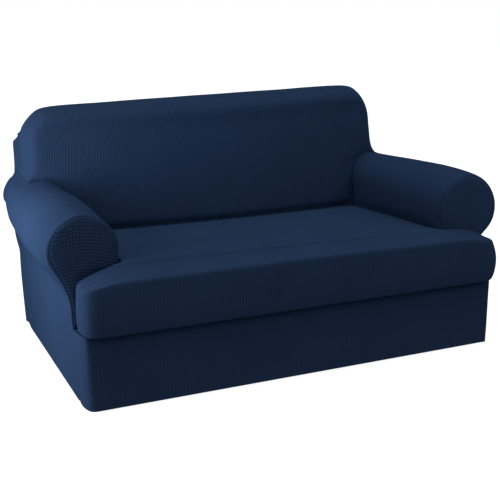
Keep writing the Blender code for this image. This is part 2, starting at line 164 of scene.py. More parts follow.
@dataclass(frozen=True)
class ArmSection:
    """A cut across an arm: the roll's circle, the outer side and the inner side.

    The right roll is the fuller one: its radius is larger by right_extra. The
    left one is slacker where it comes to the back: it lies lower by left_drop.
    """

    y: float
    centre_x: float
    centre_z: float
    radius: float
    side_x: float = 0.737
    inner_x: float = 0.591
    right_extra: float = 0.0
    left_drop: float = 0.0


@dataclass(frozen=True)
class BackSection:
    """A cut across the back, level with one of the arm's rear sections.

    It leans back by lean for each metre above the arm, and its side leaves the
    arm at foot_x.
    """

    side_x: float
    top_z: float
    corner_radius: float
    lean: float
    foot_x: float


@dataclass(frozen=True)
class SideRow:
    """A level of the cover's sides below the deck and its share of their full width."""

    z: float
    width_share: float


@dataclass(frozen=True)
class NeckRow:
    """A level of the outer side between the deck and the roll, and how far it flares."""

    z: float
    flare: float


@dataclass(frozen=True)
class InnerRow:
    """A level of the arm's inner side, and the share of the roll's overhang left there."""

    z: float
    overhang_share: float


@dataclass(frozen=True)
class SeatPoint:
    """A point of the cushion's widest outline in plan, and the height of its top seam.

    On the left the seam is higher by left_rise.
    """

    x: float
    y: float
    seam_z: float
    left_rise: float = 0.0


@dataclass(frozen=True)
class CushionRing:
    """A ring of the cushion's band: its inset and its share of the band's height."""

    inset: float
    top_share: float


@dataclass(frozen=True)
class Crease:
    """A soft trough (negative depth) or ridge along a path on the cloth.

    Both ends fade out over fade metres. The crease is felt by cloth that faces
    the way it does, out to CREASE_REACH widths from its path.
    """

    path: tuple[Point, ...]
    facing: Point
    width: float
    depth: float
    fade: float = 0.05


@dataclass(frozen=True)
class BodySizes:
    """Named sizes of the body cover, as its solids have them but for small shifts.

    The shifts, up to 14 mm, lay the cloth where the photograph shows it: the fuller
    face, the two front corners, the back's first section and the slack left arm.
    """

    base_half_width: float = 0.737
    apron_y: float = APRON_Y
    right_corner_radius: float = 0.016
    left_corner_radius: float = 0.038
    deck_z: float = DECK_Z
    centre_cells: int = 4
    crest_angle: int = 76
    cloth_profile: int = 3
    face_top_angles: tuple[int, int] = (45, 122)
    face_dome: float = 0.003
    fan_x: float = 0.716
    fan_draw: float = 1.6
    fan_sag: float = 1.5
    face_foot_y: float = 0.240
    face_lean: float = 0.16
    face_bulge: float = 0.060
    face_belly: float = 0.012
    face_half_width: float = 0.72
    seat_z: float = 0.385
    soft_from_z: float = 0.70
    soft_to_y: float = 0.41
    ease_rounds: int = 12
    ease_sharp_degrees: float = 40.0
    soft_ease_rounds: int = 24
    soft_sharp_degrees: float = 70.0
    swell_height: float = 0.0012
    swell_scale: float = 0.16
    swell_seed: float = 3.0
    back_tilt: float = 0.020
    tilt_from_z: float = 0.62
    tilt_full_z: float = 0.82
    roll_angles: tuple[int, ...] = (-40, -14, 14, 45, 76, 98, 122, 148, 175)
    corner_angles: tuple[int, ...] = (0, 30, 60, 90)
    top_shares: tuple[float, ...] = (2 / 3, 1 / 3, 0.0)
    side_rows: tuple[SideRow, ...] = (
        SideRow(0.0, 0.992),
        SideRow(0.12, 0.997),
        SideRow(DECK_Z, 1.0),
    )
    neck_rows: tuple[NeckRow, ...] = (NeckRow(0.290, 0.0), NeckRow(0.345, 0.009))
    inner_rows: tuple[InnerRow, ...] = (
        InnerRow(0.420, 0.25),
        InnerRow(0.360, 0.0),
        InnerRow(0.300, 0.0),
        InnerRow(DECK_Z, 0.0),
    )
    arm_front: tuple[ArmSection, ...] = (
        ArmSection(-0.384, 0.690, 0.473, 0.104, 0.736, 0.594, 0.014),
        ArmSection(-0.366, 0.694, 0.473, 0.109, 0.737, 0.593, 0.015),
        ArmSection(-0.330, 0.700, 0.474, 0.114, right_extra=0.013),
        ArmSection(-0.220, 0.704, 0.482, 0.118, right_extra=0.008),
        ArmSection(-0.070, 0.704, 0.489, 0.118, right_extra=0.002, left_drop=0.003),
        ArmSection(0.080, 0.701, 0.494, 0.114, left_drop=0.010),
    )
    arm_back: tuple[ArmSection, ...] = (
        ArmSection(0.265, 0.697, 0.499, 0.109, left_drop=0.014),
        ArmSection(0.320, 0.695, 0.502, 0.106, left_drop=0.010),
        ArmSection(0.375, 0.693, 0.505, 0.103, left_drop=0.004),
        ArmSection(0.435, 0.688, 0.507, 0.099, 0.736),
        ArmSection(0.497, 0.683, 0.508, 0.095, 0.733),
        ArmSection(0.517, 0.679, 0.506, 0.088, 0.725),
    )
    back: tuple[BackSection, ...] = (
        BackSection(0.694, 0.830, 0.086, 0.0, 0.722),
        BackSection(0.717, 0.858, 0.115, 0.10, 0.728),
        BackSection(0.731, 0.868, 0.120, 0.06, 0.733),
        BackSection(0.716, 0.839, 0.105, 0.03, 0.735),
        BackSection(0.726, 0.762, 0.044, 0.0, 0.731),
        BackSection(0.718, 0.750, 0.042, 0.0, 0.723),
    )

    @property
    def deck_place(self) -> int:
        """Place of the deck in an arm profile."""
        return len(self.side_rows) - 1

    def roll_place(self, degrees: int) -> int:
        """Place of a point of the roll in an arm profile.

        Args:
            degrees: the point's angle, one of roll_angles.

        Returns:
            Its index in the profile.
        """
        return self.deck_place + len(self.neck_rows) + self.roll_angles.index(degrees) + 1


@dataclass(frozen=True)
class CushionSizes:
    """Named sizes of the cushion cover, as its solids have them but for its right ear.

    There the seam lies up to 8 mm higher beside the arm, and the end is drawn in.
    """

    foot_z: float = DECK_Z + REST_GAP
    clearance: float = 0.006
    crown: float = 0.010
    crown_power: int = 4
    back_corner_trim: float = 0.010
    ear_start: float = 0.60
    right_ear_stretch: float = 1.17
    left_ear_stretch: float = 0.94
    right_ear_tuck: float = 0.014
    tuck_run: float = 0.12
    ease_rounds: int = 6
    ease_sharp_degrees: float = 40.0
    back_cells: int = 4
    side_cells: int = 4
    ear_cells: int = 2
    ear_side_cells: int = 3
    rings: tuple[CushionRing, ...] = (
        CushionRing(0.006, 1.0),
        CushionRing(0.000, 0.55),
        CushionRing(0.001, 0.10),
        CushionRing(0.012, 0.0),
    )
    # The first points stand off the back's front face by the clearance.
    back_points: tuple[tuple[float, float], ...] = (
        (0.000, 0.404),
        (0.150, 0.404),
        (0.300, 0.404),
        (0.450, 0.403),
        (0.574, 0.402),
    )
    outline: tuple[SeatPoint, ...] = (
        SeatPoint(0.586, 0.060, 0.404),
        SeatPoint(0.586, -0.090, 0.407, 0.002),
        SeatPoint(0.586, -0.240, 0.408, 0.010),
        SeatPoint(0.586, -0.3905, 0.414, 0.019),
        SeatPoint(0.660, -0.3905, 0.407, 0.001),
        SeatPoint(0.726, -0.394, 0.390, -0.006),
        SeatPoint(0.742, -0.428, 0.378, 0.002),
        SeatPoint(0.739, -0.470, 0.377),
        SeatPoint(0.714, -0.511, 0.379, 0.001),
        SeatPoint(0.650, -0.517, 0.388, 0.004),
        SeatPoint(0.586, -0.517, 0.393, 0.002),
        SeatPoint(0.440, -0.517, 0.395, 0.001),
        SeatPoint(0.293, -0.517, 0.396, 0.001),
        SeatPoint(0.147, -0.517, 0.397),
        SeatPoint(0.000, -0.517, 0.398),
    )


# ---- Nets of quads ----


def column_between(foot: Point, top: Point, count: int) -> Row:
    """Evenly spaced points from foot to top."""
    return [mix(foot, top, k / (count - 1)) for k in range(count)]


def coons(bottom: Row, top: Row, left: Row, right: Row) -> list[Row]:
    """Fill four edges with rows of points.

    Args:
        bottom: the first row.
        top: the last row.
        left: first points of the rows, from bottom to top.
        right: last points of the rows, from bottom to top.

    Returns:
        The rows, from bottom to top.
    """
    rows = []
    for i, (start, end) in enumerate(zip(left, right)):
        v = i / (len(left) - 1)
        row = []
        for j, (low, high) in enumerate(zip(bottom, top)):
            u = j / (len(bottom) - 1)
            across = mix(start, end, u)
            along = mix(low, high, v)
            corners = mix(mix(bottom[0], bottom[-1], u), mix(top[0], top[-1], u), v)
            row.append(tuple(a + b - c for a, b, c in zip(across, along, corners)))
        rows.append(row)
    return rows


def relaxed(rows: list[Row], rounds: int = 60) -> list[Row]:
    """The rows, with the points inside their four edges spread evenly."""
    grid = np.array(rows)
    for _ in range(rounds):
        beside = grid[1:-1, :-2] + grid[1:-1, 2:]
        above_below = grid[:-2, 1:-1] + grid[2:, 1:-1]
        grid[1:-1, 1:-1] = (beside + above_below) / 4
    return [[tuple(point) for point in row] for row in grid.tolist()]


def arc(centre: Pair, radius: float, angles: Iterable[float]) -> list[Pair]:
    """X and Z of points on a circle, at angles in degrees."""
    turns = [math.radians(angle) for angle in angles]
    return [(centre[0] + radius * math.cos(t), centre[1] + radius * math.sin(t)) for t in turns]


def mirrored(row: Iterable[Point]) -> tuple[Point, ...]:
    """The points, mirrored to the other side."""
    return tuple((-x, y, z) for x, y, z in row)


def run_lengths(row: Sequence[Sequence[float]]) -> list[float]:
    """Distance of each point of the row from its first one, along the row."""
    lengths = [0.0]
    for start, end in zip(row, row[1:]):
        lengths.append(lengths[-1] + math.dist(start, end))
    return lengths


def flat_cloth(rows: list[Row], first: int, second: int) -> list[list[Cloth]]:
    """Cloth coordinates that are two of each point's own, such as X and Z."""
    return [[(point[first], point[second]) for point in row] for row in rows]


class Cage:
    """Quads on shared points, each with its panel and its cloth coordinates."""

    def __init__(self) -> None:
        """Start an empty cage."""
        self.points: Row = []
        self.index_of: dict[Point, int] = {}
        self.quads: list[tuple[int, int, int, int]] = []
        self.panels: list[Panel] = []
        self.cloth: list[tuple[Cloth, Cloth, Cloth, Cloth]] = []

    def index(self, point: Point) -> int:
        """Number of the point, which is shared by every patch that touches it."""
        key = tuple(round(value, 5) for value in point)
        if key not in self.index_of:
            self.index_of[key] = len(self.points)
            self.points.append(tuple(point))
        return self.index_of[key]

    def patch(self, rows: list[Row], cloth: list[list[Cloth]], panel: Panel) -> None:
        """Add the quads between rows of points.

        Args:
            rows: rows of points of equal length.
            cloth: the same rows as places on the flat cloth, in metres.
            panel: the panel that the quads belong to.
        """
        numbers = [[self.index(point) for point in row] for row in rows]
        for i in range(len(numbers) - 1):
            for j in range(len(numbers[i]) - 1):
                places = ((i, j), (i, j + 1), (i + 1, j + 1), (i + 1, j))
                self.quads.append(tuple(numbers[a][b] for a, b in places))
                self.cloth.append(tuple(cloth[a][b] for a, b in places))
                self.panels.append(panel)


@dataclass
class Half:
    """One side of a cage; its rows are given as they run on the right."""

    cage: Cage
    side: Side

    def patch(self, rows: list[Row], cloth: list[list[Cloth]], panel: Panel) -> None:
        """Add the quads between rows of points, on this side."""
        on_right = self.side is Side.RIGHT
        self.cage.patch(rows if on_right else [mirrored(row) for row in rows], cloth, panel)

    def own(self, name: str) -> Panel:
        """The panel of that name on this side."""
        return Panel(f"{name}_{self.side.value}")


# ---- Smooth cloth ----


def folds_with(
    panel: Panel, others: Iterable[Panel], sharpness: float
) -> dict[frozenset[Panel], float]:
    """How sharply, from 0 to 1, the cloth turns where a panel meets each of the others."""
    return {frozenset((panel, other)): sharpness for other in others}


ARM_WRAPS = (Panel.ARM_WRAP_LEFT, Panel.ARM_WRAP_RIGHT)
ARM_FRONTS = (Panel.ARM_FRONT_LEFT, Panel.ARM_FRONT_RIGHT)
FOLDS = (
    folds_with(Panel.SEAT_DECK, ARM_WRAPS + ARM_FRONTS, 1.0)
    | folds_with(Panel.SEAT_DECK, (Panel.BACK_INSIDE, Panel.FRONT_APRON), 1.0)
    | folds_with(Panel.BACK_INSIDE, ARM_WRAPS, 0.6)
    | folds_with(Panel.BACK_OUTSIDE, ARM_WRAPS + (Panel.BACK_INSIDE,), 0.3)
    | folds_with(Panel.CUSHION_TOP, (Panel.CUSHION_BAND,), 0.7)
)
# Where these seams run from front to rear, the two panels meet smoothly.
SIDE_SEAMS = folds_with(Panel.BACK_INSIDE, ARM_WRAPS, 0.0)

# How many widths from its path a crease is felt. Cloth whose normal has the cosine or
# more with the crease's facing feels all of it.
CREASE_REACH = 2.2
CREASE_COSINE = 0.4


@dataclass
class ClothSurface:
    """The outer surface of one cover: points, and quads with panels and cloth places.

    Below hem_hold the hem holds the cloth still.
    """

    points: Array
    quads: Array
    panels: Array
    cloth: Array
    panel_order: list[Panel]
    hem_hold: float = 0.05

    def crease(self, creases: Iterable[Crease]) -> None:
        """Press troughs and raise ridges along paths on the cloth."""
        normals = mean_normals(self.points, self.quads)
        for crease in creases:
            path = np.array(crease.path)
            reach = CREASE_REACH * crease.width
            low, high = path.min(axis=0) - reach, path.max(axis=0) + reach
            near = np.flatnonzero(((self.points > low) & (self.points < high)).all(axis=1))
            agree = normals[near] @ unit(np.array(crease.facing))
            away, along, length = path_distances(self.points[near], path)
            ends = np.minimum(along, length - along) / crease.fade
            strength = np.exp(-((away / crease.width) ** 2)) * smooth_step(ends)
            strength *= smooth_step(agree / CREASE_COSINE)
            self.points[near] += normals[near] * (crease.depth * strength)[:, None]

    def seam_points(self) -> Array:
        """Which points lie on a seam between two panels."""
        numbers = np.repeat(self.panels, 4)
        least = np.full(len(self.points), len(self.panel_order))
        most = np.full(len(self.points), -1)
        np.minimum.at(least, self.quads.ravel(), numbers)
        np.maximum.at(most, self.quads.ravel(), numbers)
        return least != most

    def ease(self, rounds: int, sharp_degrees: float, stay: Array | None = None) -> None:
        """Draw the cloth tight, so that it rounds evenly between its sharp folds.

        Args:
            rounds: how often each point moves half of the way to its neighbours' mean.
            sharp_degrees: points where faces turn more than this stay where they are.
            stay: which other points stay where they are.
        """
        count = len(self.points)
        means = mean_normals(self.points, self.quads)
        normals = unit(quad_vectors(self.points, self.quads))
        lean = np.ones(count)
        for corners in self.quads.T:
            np.minimum.at(lean, corners, np.einsum("ij,ij->i", normals, means[corners]))
        free = lean > math.cos(math.radians(sharp_degrees / 2))
        if stay is not None:
            free &= ~stay
        starts, ends = quad_edges(self.quads)
        codes = edge_codes(self.quads, count)
        _, first, uses = np.unique(codes, return_index=True, return_counts=True)
        border = first[uses == 1]
        free[starts[border]] = free[ends[border]] = False
        here = np.concatenate([starts[first], ends[first]])
        beside = np.concatenate([ends[first], starts[first]])
        number = np.bincount(here, minlength=count)[:, None]
        for _ in range(rounds):
            mean = summed_at(here, self.points[beside], count) / number
            self.points[free] += 0.5 * (mean - self.points)[free]

    def sway(self, height: float, scale: float, seed: float) -> None:
        """Give the cloth slow, uneven swells.

        Args:
            height: how far the swells reach, in metres.
            scale: how far apart they are, in metres.
            seed: moves the pattern.
        """
        offset = Vector((seed, seed, seed))
        swell = [noise.noise(Vector(point) / scale + offset) for point in self.points]
        above_floor = np.clip(self.points[:, 2] / self.hem_hold, 0.0, 1.0)
        shift = height * np.array(swell) * above_floor
        self.points += mean_normals(self.points, self.quads) * shift[:, None]


def path_distances(points: Array, path: Array) -> tuple[Array, Array, float]:
    """Distances from points to a path.

    Args:
        points: the points, one in each row.
        path: the corners of the path.

    Returns:
        Each point's distance from the path, how far along it the nearest place
        is, and the path's length.
    """
    best = np.full(len(points), 1e9)
    along = np.zeros(len(points))
    start_length = 0.0
    for start, end in zip(path, path[1:]):
        step = end - start
        length = np.linalg.norm(step)
        t = np.clip((points - start) @ step / length**2, 0.0, 1.0)
        away = np.linalg.norm(points - start - t[:, None] * step, axis=1)
        nearer = away < best
        best = np.where(nearer, away, best)
        along = np.where(nearer, start_length + t * length, along)
        start_length += length
    return best, along, start_length


@dataclass(frozen=True)
class Smoother:
    """Turns a cage into a smooth surface that passes through the cage's points."""

    levels: int = 3
    rounds: int = 6

    def cage_mesh(self, cage: Cage, order: list[Panel]) -> bpy.types.Mesh:
        """Mesh of the cage, with its panels as material numbers and its folds creased."""
        mesh = bpy.data.meshes.new("cage")
        mesh.from_pydata(cage.points, [], cage.quads)
        numbers = [order.index(panel) for panel in cage.panels]
        mesh.polygons.foreach_set("material_index", numbers)
        for panel in order:
            mesh.materials.append(bpy.data.materials.new("tag_" + panel.value))
        cloth = mesh.uv_layers.new(name="cloth")
        cloth.data.foreach_set("uv", np.array(cage.cloth).ravel())

        net = bmesh.new()
        net.from_mesh(mesh)
        bmesh.ops.recalc_face_normals(net, faces=net.faces)
        up = (Panel.SEAT_DECK, Panel.CUSHION_TOP)
        if sum(face.normal.z for face in net.faces if order[face.material_index] in up) < 0:
            bmesh.ops.reverse_faces(net, faces=net.faces)
        layer = net.edges.layers.float.new("crease_edge")
        for edge in net.edges:
            panels = frozenset(order[face.material_index] for face in edge.link_faces)
            depth = abs(edge.verts[1].co.y - edge.verts[0].co.y)
            smooth = panels in SIDE_SEAMS and depth > edge.calc_length() / 2
            edge[layer] = 0.0 if smooth else FOLDS.get(panels, 0.0)
        net.to_mesh(mesh)
        net.free()
        return mesh

    def smoothed(self, cage: Cage) -> ClothSurface:
        """Smooth surface of a cage.

        Args:
            cage: the net, its panels, cloth coordinates and folds.

        Returns:
            The surface, before any crease.
        """
        order = sorted(set(cage.panels), key=lambda panel: panel.value)
        mesh = self.cage_mesh(cage, order)
        cage_object = add_object("cage", mesh)
        subdivision = cage_object.modifiers.new("smooth", "SUBSURF")
        subdivision.levels = self.levels
        subdivision.render_levels = self.levels
        subdivision.boundary_smooth = "PRESERVE_CORNERS"
        subdivision.uv_smooth = "PRESERVE_BOUNDARIES"
        through = np.array(cage.points)
        control = through.copy()
        smooth = plain_mesh(cage_object)
        for _ in range(self.rounds):
            control += through - column(smooth.vertices, "co", 3, float)[: len(through)]
            mesh.vertices.foreach_set("co", control.ravel())
            mesh.update()
            bpy.data.meshes.remove(smooth)
            smooth = plain_mesh(cage_object)
        surface = self.surface_of(smooth, order)
        bpy.data.objects.remove(cage_object)
        bpy.data.meshes.remove(mesh)
        bpy.data.meshes.remove(smooth)
        return surface

    def surface_of(self, mesh: bpy.types.Mesh, order: list[Panel]) -> ClothSurface:
        """The arrays of an all-quad mesh."""
        cloth = column(mesh.uv_layers["cloth"].data, "uv", 2, float).reshape(-1, 4, 2)
        quads = column(mesh.polygons, "vertices", 4, np.int64)
        panels = column(mesh.polygons, "material_index", 1, np.int64)[:, 0]
        return ClothSurface(column(mesh.vertices, "co", 3, float), quads, panels, cloth, order)


# ---- Panels as sheets ----

# Points read along each edge of a seam, to find how far the cloth is from it.
SEAM_SAMPLES = 8
# Points below this height stand on the floor.
FLOOR_TOUCH = 1e-4
# Limits that keep a corner's roll from running away: the squared mean of the ways
# into the panel, and how far the seam's normal may turn from the panel's.
LEAST_SQUARE = 0.2
LEAST_AGREEMENT = 0.7
# Keeps the shares of a move finite where a corner of a cell is nearly straight.
LEAST_AREA_SQUARED = 1e-18


@dataclass(frozen=True)
class SheetSizes:
    """Thickness of the knit, and the way its edge rolls down into a seam.

    The roll starts gap from the seam and takes up reach, or less where the quads
    beside the seam are narrow, but never less than least_scale of it.
    """

    thickness: float = 0.002
    gap: float = 0.00004
    reach: float = 0.007
    least_scale: float = 0.03
    drop: float = 0.0018
    ring_shares: tuple[float, ...] = (0.0, 0.3, 1.0)
    sharp_degrees: float = 50.0

    def drop_at(self, away: Array) -> Array:
        """How far the cloth has sunk at a distance from its seam."""
        return self.drop * np.clip(1.0 - away / self.reach, 0.0, 1.0) ** 2


@dataclass
class SheetMesh:
    """Outer surface of a panel: points, outward normals, quads and cloth places."""

    points: Array
    normals: Array
    quads: Array
    cloth: Array

    def to_object(self, name: str, sizes: SheetSizes) -> bpy.types.Object:
        """Make the panel's sheet: outer surface, inner surface and their rim.

        Args:
            name: name of the new object.
            sizes: the sheet's sizes.

        Returns:
            The object, in the scene.
        """
        count = len(self.points)
        inner = self.points - self.normals * sizes.thickness
        on_floor = self.points[:, 2] < FLOOR_TOUCH
        inner[on_floor, 2] = self.points[on_floor, 2]
        starts, ends = quad_edges(self.quads)
        free = ~np.isin(starts * count + ends, ends * count + starts)
        starts, ends = starts[free], ends[free]
        rim = np.stack([ends, starts, starts + count, ends + count], axis=1)
        start_cloth = self.cloth.reshape(-1, 2)[free]
        end_cloth = np.roll(self.cloth, -1, axis=1).reshape(-1, 2)[free]
        rim_cloth = np.stack([end_cloth, start_cloth, start_cloth, end_cloth], axis=1)
        quads = np.concatenate([self.quads, self.quads[:, ::-1] + count, rim])
        cloth = np.concatenate([self.cloth, self.cloth[:, ::-1], rim_cloth])

        mesh = bpy.data.meshes.new(name)
        mesh.from_pydata(np.concatenate([self.points, inner]), [], quads.tolist())
        mesh.uv_layers.new(name="cloth").data.foreach_set("uv", cloth.ravel())
        mesh.shade_smooth()
        mesh.set_sharp_from_angle(angle=math.radians(sizes.sharp_degrees))
        return add_object(name, mesh)


@dataclass
class PanelCutter:
    """Cuts panels out of a cover's surface and rolls their edges into the seams."""

    surface: ClothSurface
    sizes: SheetSizes = SheetSizes()
    normals: Array = field(init=False)

    def __post_init__(self) -> None:
        """Work out what every panel of the surface shares."""
        self.normals = mean_normals(self.surface.points, self.surface.quads)

    def seam_mask(self, quads: Array) -> Array:
        """Which edges of a panel's quads lie on a seam with another panel."""
        count = len(self.surface.points)
        codes, all_codes = edge_codes(quads, count), edge_codes(self.surface.quads, count)
        _, inverse, uses = np.unique(codes, return_inverse=True, return_counts=True)
        every, all_uses = np.unique(all_codes, return_counts=True)
        shared = all_uses[np.searchsorted(every, codes)] == 2
        return ((uses[inverse] == 1) & shared).reshape(quads.shape)

    def inward(self, quads: Array, seam: Array) -> tuple[Array, Array]:
        """How a point of a seam moves into the panel.

        Args:
            quads: the panel's quads.
            seam: which of their edges lie on a seam.

        Returns:
            For each point of the surface its move for a metre of reach, and the
            reach at which it would meet the next row of points.
        """
        points, count = self.surface.points, len(self.surface.points)
        starts, ends = quad_edges(quads)
        on_seam = np.zeros(count, dtype=bool)
        on_seam[starts[seam.ravel()]] = on_seam[ends[seam.ravel()]] = True
        moves = np.zeros_like(points)
        room = np.full(count, np.inf)
        for wanted in (~seam.ravel(), seam.ravel()):
            undone = on_seam & ~moves.any(axis=1)
            here = np.concatenate([starts[wanted], ends[wanted]])
            beside = np.concatenate([ends[wanted], starts[wanted]])
            pairs = np.stack([here, beside], axis=1)[undone[here]]
            if not len(pairs):
                continue
            here, beside = np.unique(pairs, axis=0).T
            step = points[beside] - points[here]
            np.minimum.at(room, here, np.linalg.norm(step, axis=1))
            number = np.maximum(np.bincount(here, minlength=count), 1)[:, None]
            mean = summed_at(here, unit(step), count) / number
            square = np.maximum((mean**2).sum(axis=1, keepdims=True), LEAST_SQUARE)
            moves = np.where(undone[:, None], mean / square, moves)
        return moves, room

    def cloth_shift(self, quads: Array, cloth: Array, move: Array) -> Array:
        """How far cloth places shift when the corners of quads move.

        Args:
            quads: the quads.
            cloth: the cloth places of their corners.
            move: how far each point of the surface moves.

        Returns:
            The shift at each corner of each quad.
        """
        here = self.surface.points[quads]
        ahead = np.roll(here, -1, axis=1) - here
        behind = np.roll(here, 1, axis=1) - here
        cloth_ahead = np.roll(cloth, -1, axis=1) - cloth
        cloth_behind = np.roll(cloth, 1, axis=1) - cloth
        delta = move[quads]
        aa, bb = (ahead**2).sum(axis=-1), (behind**2).sum(axis=-1)
        ab = (ahead * behind).sum(axis=-1)
        da, db = (delta * ahead).sum(axis=-1), (delta * behind).sum(axis=-1)
        area_squared = np.maximum(aa * bb - ab * ab, LEAST_AREA_SQUARED)
        share_ahead = (da * bb - db * ab) / area_squared
        share_behind = (db * aa - da * ab) / area_squared
        return share_ahead[..., None] * cloth_ahead + share_behind[..., None] * cloth_behind

    def away_from_seam(self, numbers: Array, quads: Array, seam: Array) -> Array:
        """Distance of points of the surface from the panel's seams."""
        points = self.surface.points
        first, last = points[quads[seam]], points[np.roll(quads, -1, axis=1)[seam]]
        shares = np.linspace(0.0, 1.0, SEAM_SAMPLES)[:, None, None]
        samples = (first + (last - first) * shares).reshape(-1, 3)
        tree = kdtree.KDTree(len(samples))
        for number, sample in enumerate(samples.tolist()):
            tree.insert(sample, number)
        tree.balance()
        return np.array([tree.find(points[number])[2] for number in numbers])

    def cut(self, panel: Panel) -> SheetMesh:
        """Outer surface of one panel, with its edges rolled into its seams.

        Args:
            panel: the panel to cut out.

        Returns:
            Its outer surface.
        """
        sizes = self.sizes
        chosen = self.surface.panels == self.surface.panel_order.index(panel)
        quads, cloth = self.surface.quads[chosen], self.surface.cloth[chosen]
        seam = self.seam_mask(quads)
        moves, room = self.inward(quads, seam)
        on_seam = np.linalg.norm(moves, axis=1) > 0.0
        own = mean_normals(self.surface.points, quads)
        roll = sizes.reach - sizes.gap
        scale = np.clip((room / 2 - sizes.gap) / roll, sizes.least_scale, 1.0)

        inside = np.setdiff1d(np.unique(quads), np.flatnonzero(on_seam))
        away = self.away_from_seam(inside, quads, seam)
        number_of = np.full((len(sizes.ring_shares), len(self.surface.points)), -1)
        points = [self.surface.points[inside] - own[inside] * sizes.drop_at(away)[:, None]]
        normals = [own[inside]]
        number_of[:, inside] = np.arange(len(inside))
        ring_cloth = []
        seam_points = np.flatnonzero(on_seam)
        for ring, share in enumerate(sizes.ring_shares):
            reach = sizes.gap + share * scale * roll
            move = moves * np.where(on_seam, reach, 0.0)[:, None]
            normal = unit(self.normals * (1.0 - share) + own * share)
            agree = np.clip((normal * own).sum(axis=1), LEAST_AGREEMENT, 1.0)
            sunk = self.surface.points + move - normal * sizes.drop_at(reach)[:, None]
            number_of[ring, seam_points] = sum(map(len, points)) + np.arange(len(seam_points))
            points.append(sunk[seam_points])
            normals.append((normal / agree[:, None])[seam_points])
            ring_cloth.append(cloth + self.cloth_shift(quads, cloth, move))

        new_quads, new_cloth = [number_of[-1][quads]], [ring_cloth[-1]]
        start, end = quads[seam], np.roll(quads, -1, axis=1)[seam]
        for low, high in zip(number_of, number_of[1:]):
            new_quads.append(np.stack([low[start], low[end], high[end], high[start]], axis=1))
        for low, high in zip(ring_cloth, ring_cloth[1:]):
            low_end, high_end = np.roll(low, -1, axis=1), np.roll(high, -1, axis=1)
            corners = (low[seam], low_end[seam], high_end[seam], high[seam])
            new_cloth.append(np.stack(corners, axis=1))
        joined = np.concatenate(points)
        joined[:, 2] = np.maximum(joined[:, 2], 0.0)
        new = (normals, new_quads, new_cloth)
        return SheetMesh(joined, *(np.concatenate(parts) for parts in new))


# ---- Creases, placed one by one ----


# The deck's edge rounds down under the cushion and leaves a dark groove there.
DECK_EDGE = Crease(
    ((-0.725, APRON_Y, DECK_Z), (0.725, APRON_Y, DECK_Z)),
    facing=(0.0, -0.5, 0.8),
    width=0.012,
    depth=-0.012,
    fade=0.03,
)
# The back and the arms give way behind the cushion's top edge.
BACK_FOOT_HALF = ((0.300, 0.193, 0.402), (0.500, 0.212, 0.402), (0.590, 0.223, 0.398))
BACK_FOOT = Crease(
    (*mirrored(BACK_FOOT_HALF)[::-1], (0.000, 0.183, 0.402), *BACK_FOOT_HALF),
    facing=(0.0, -1.0, 0.0),
    width=0.014,
    depth=-0.010,
)
ARM_FOOT = Crease(
    ((0.591, -0.360, 0.402), (0.591, -0.100, 0.402), (0.591, 0.200, 0.402)),
    facing=(-1.0, 0.0, 0.0),
    width=0.018,
    depth=-0.012,
)
OTHER_ARM_FOOT = replace(ARM_FOOT, path=mirrored(ARM_FOOT.path), facing=(1.0, 0.0, 0.0))
# The left arm's front gives way behind the cushion's ear.
EAR_BACK = Crease(
    ((-0.610, -0.386, 0.402), (-0.660, -0.386, 0.398), (-0.725, -0.386, 0.384)),
    facing=(0.0, -1.0, 0.0),
    width=0.012,
    depth=-0.005,
    fade=0.02,
)
# The seam between an arm and the back draws the cloth in, most on the left.
RIGHT_ARM_SEAM = Crease(
    (
        (0.722, 0.265, 0.608),
        (0.680, 0.262, 0.607),
        (0.635, 0.252, 0.588),
        (0.600, 0.235, 0.540),
        (0.590, 0.225, 0.470),
        (0.590, 0.222, 0.400),
    ),
    facing=(-0.5, -0.6, 0.6),
    width=0.014,
    depth=-0.007,
)
LEFT_ARM_SEAM = Crease(
    (
        (-0.690, 0.263, 0.594),
        (-0.650, 0.256, 0.583),
        (-0.612, 0.242, 0.545),
        (-0.594, 0.228, 0.480),
        (-0.590, 0.222, 0.400),
    ),
    facing=(0.5, -0.6, 0.6),
    width=0.012,
    depth=-0.008,
)
BODY_CREASES = (
    DECK_EDGE,
    BACK_FOOT,
    ARM_FOOT,
    OTHER_ARM_FOOT,
    EAR_BACK,
    RIGHT_ARM_SEAM,
    LEFT_ARM_SEAM,
)


# ---- Covers ----


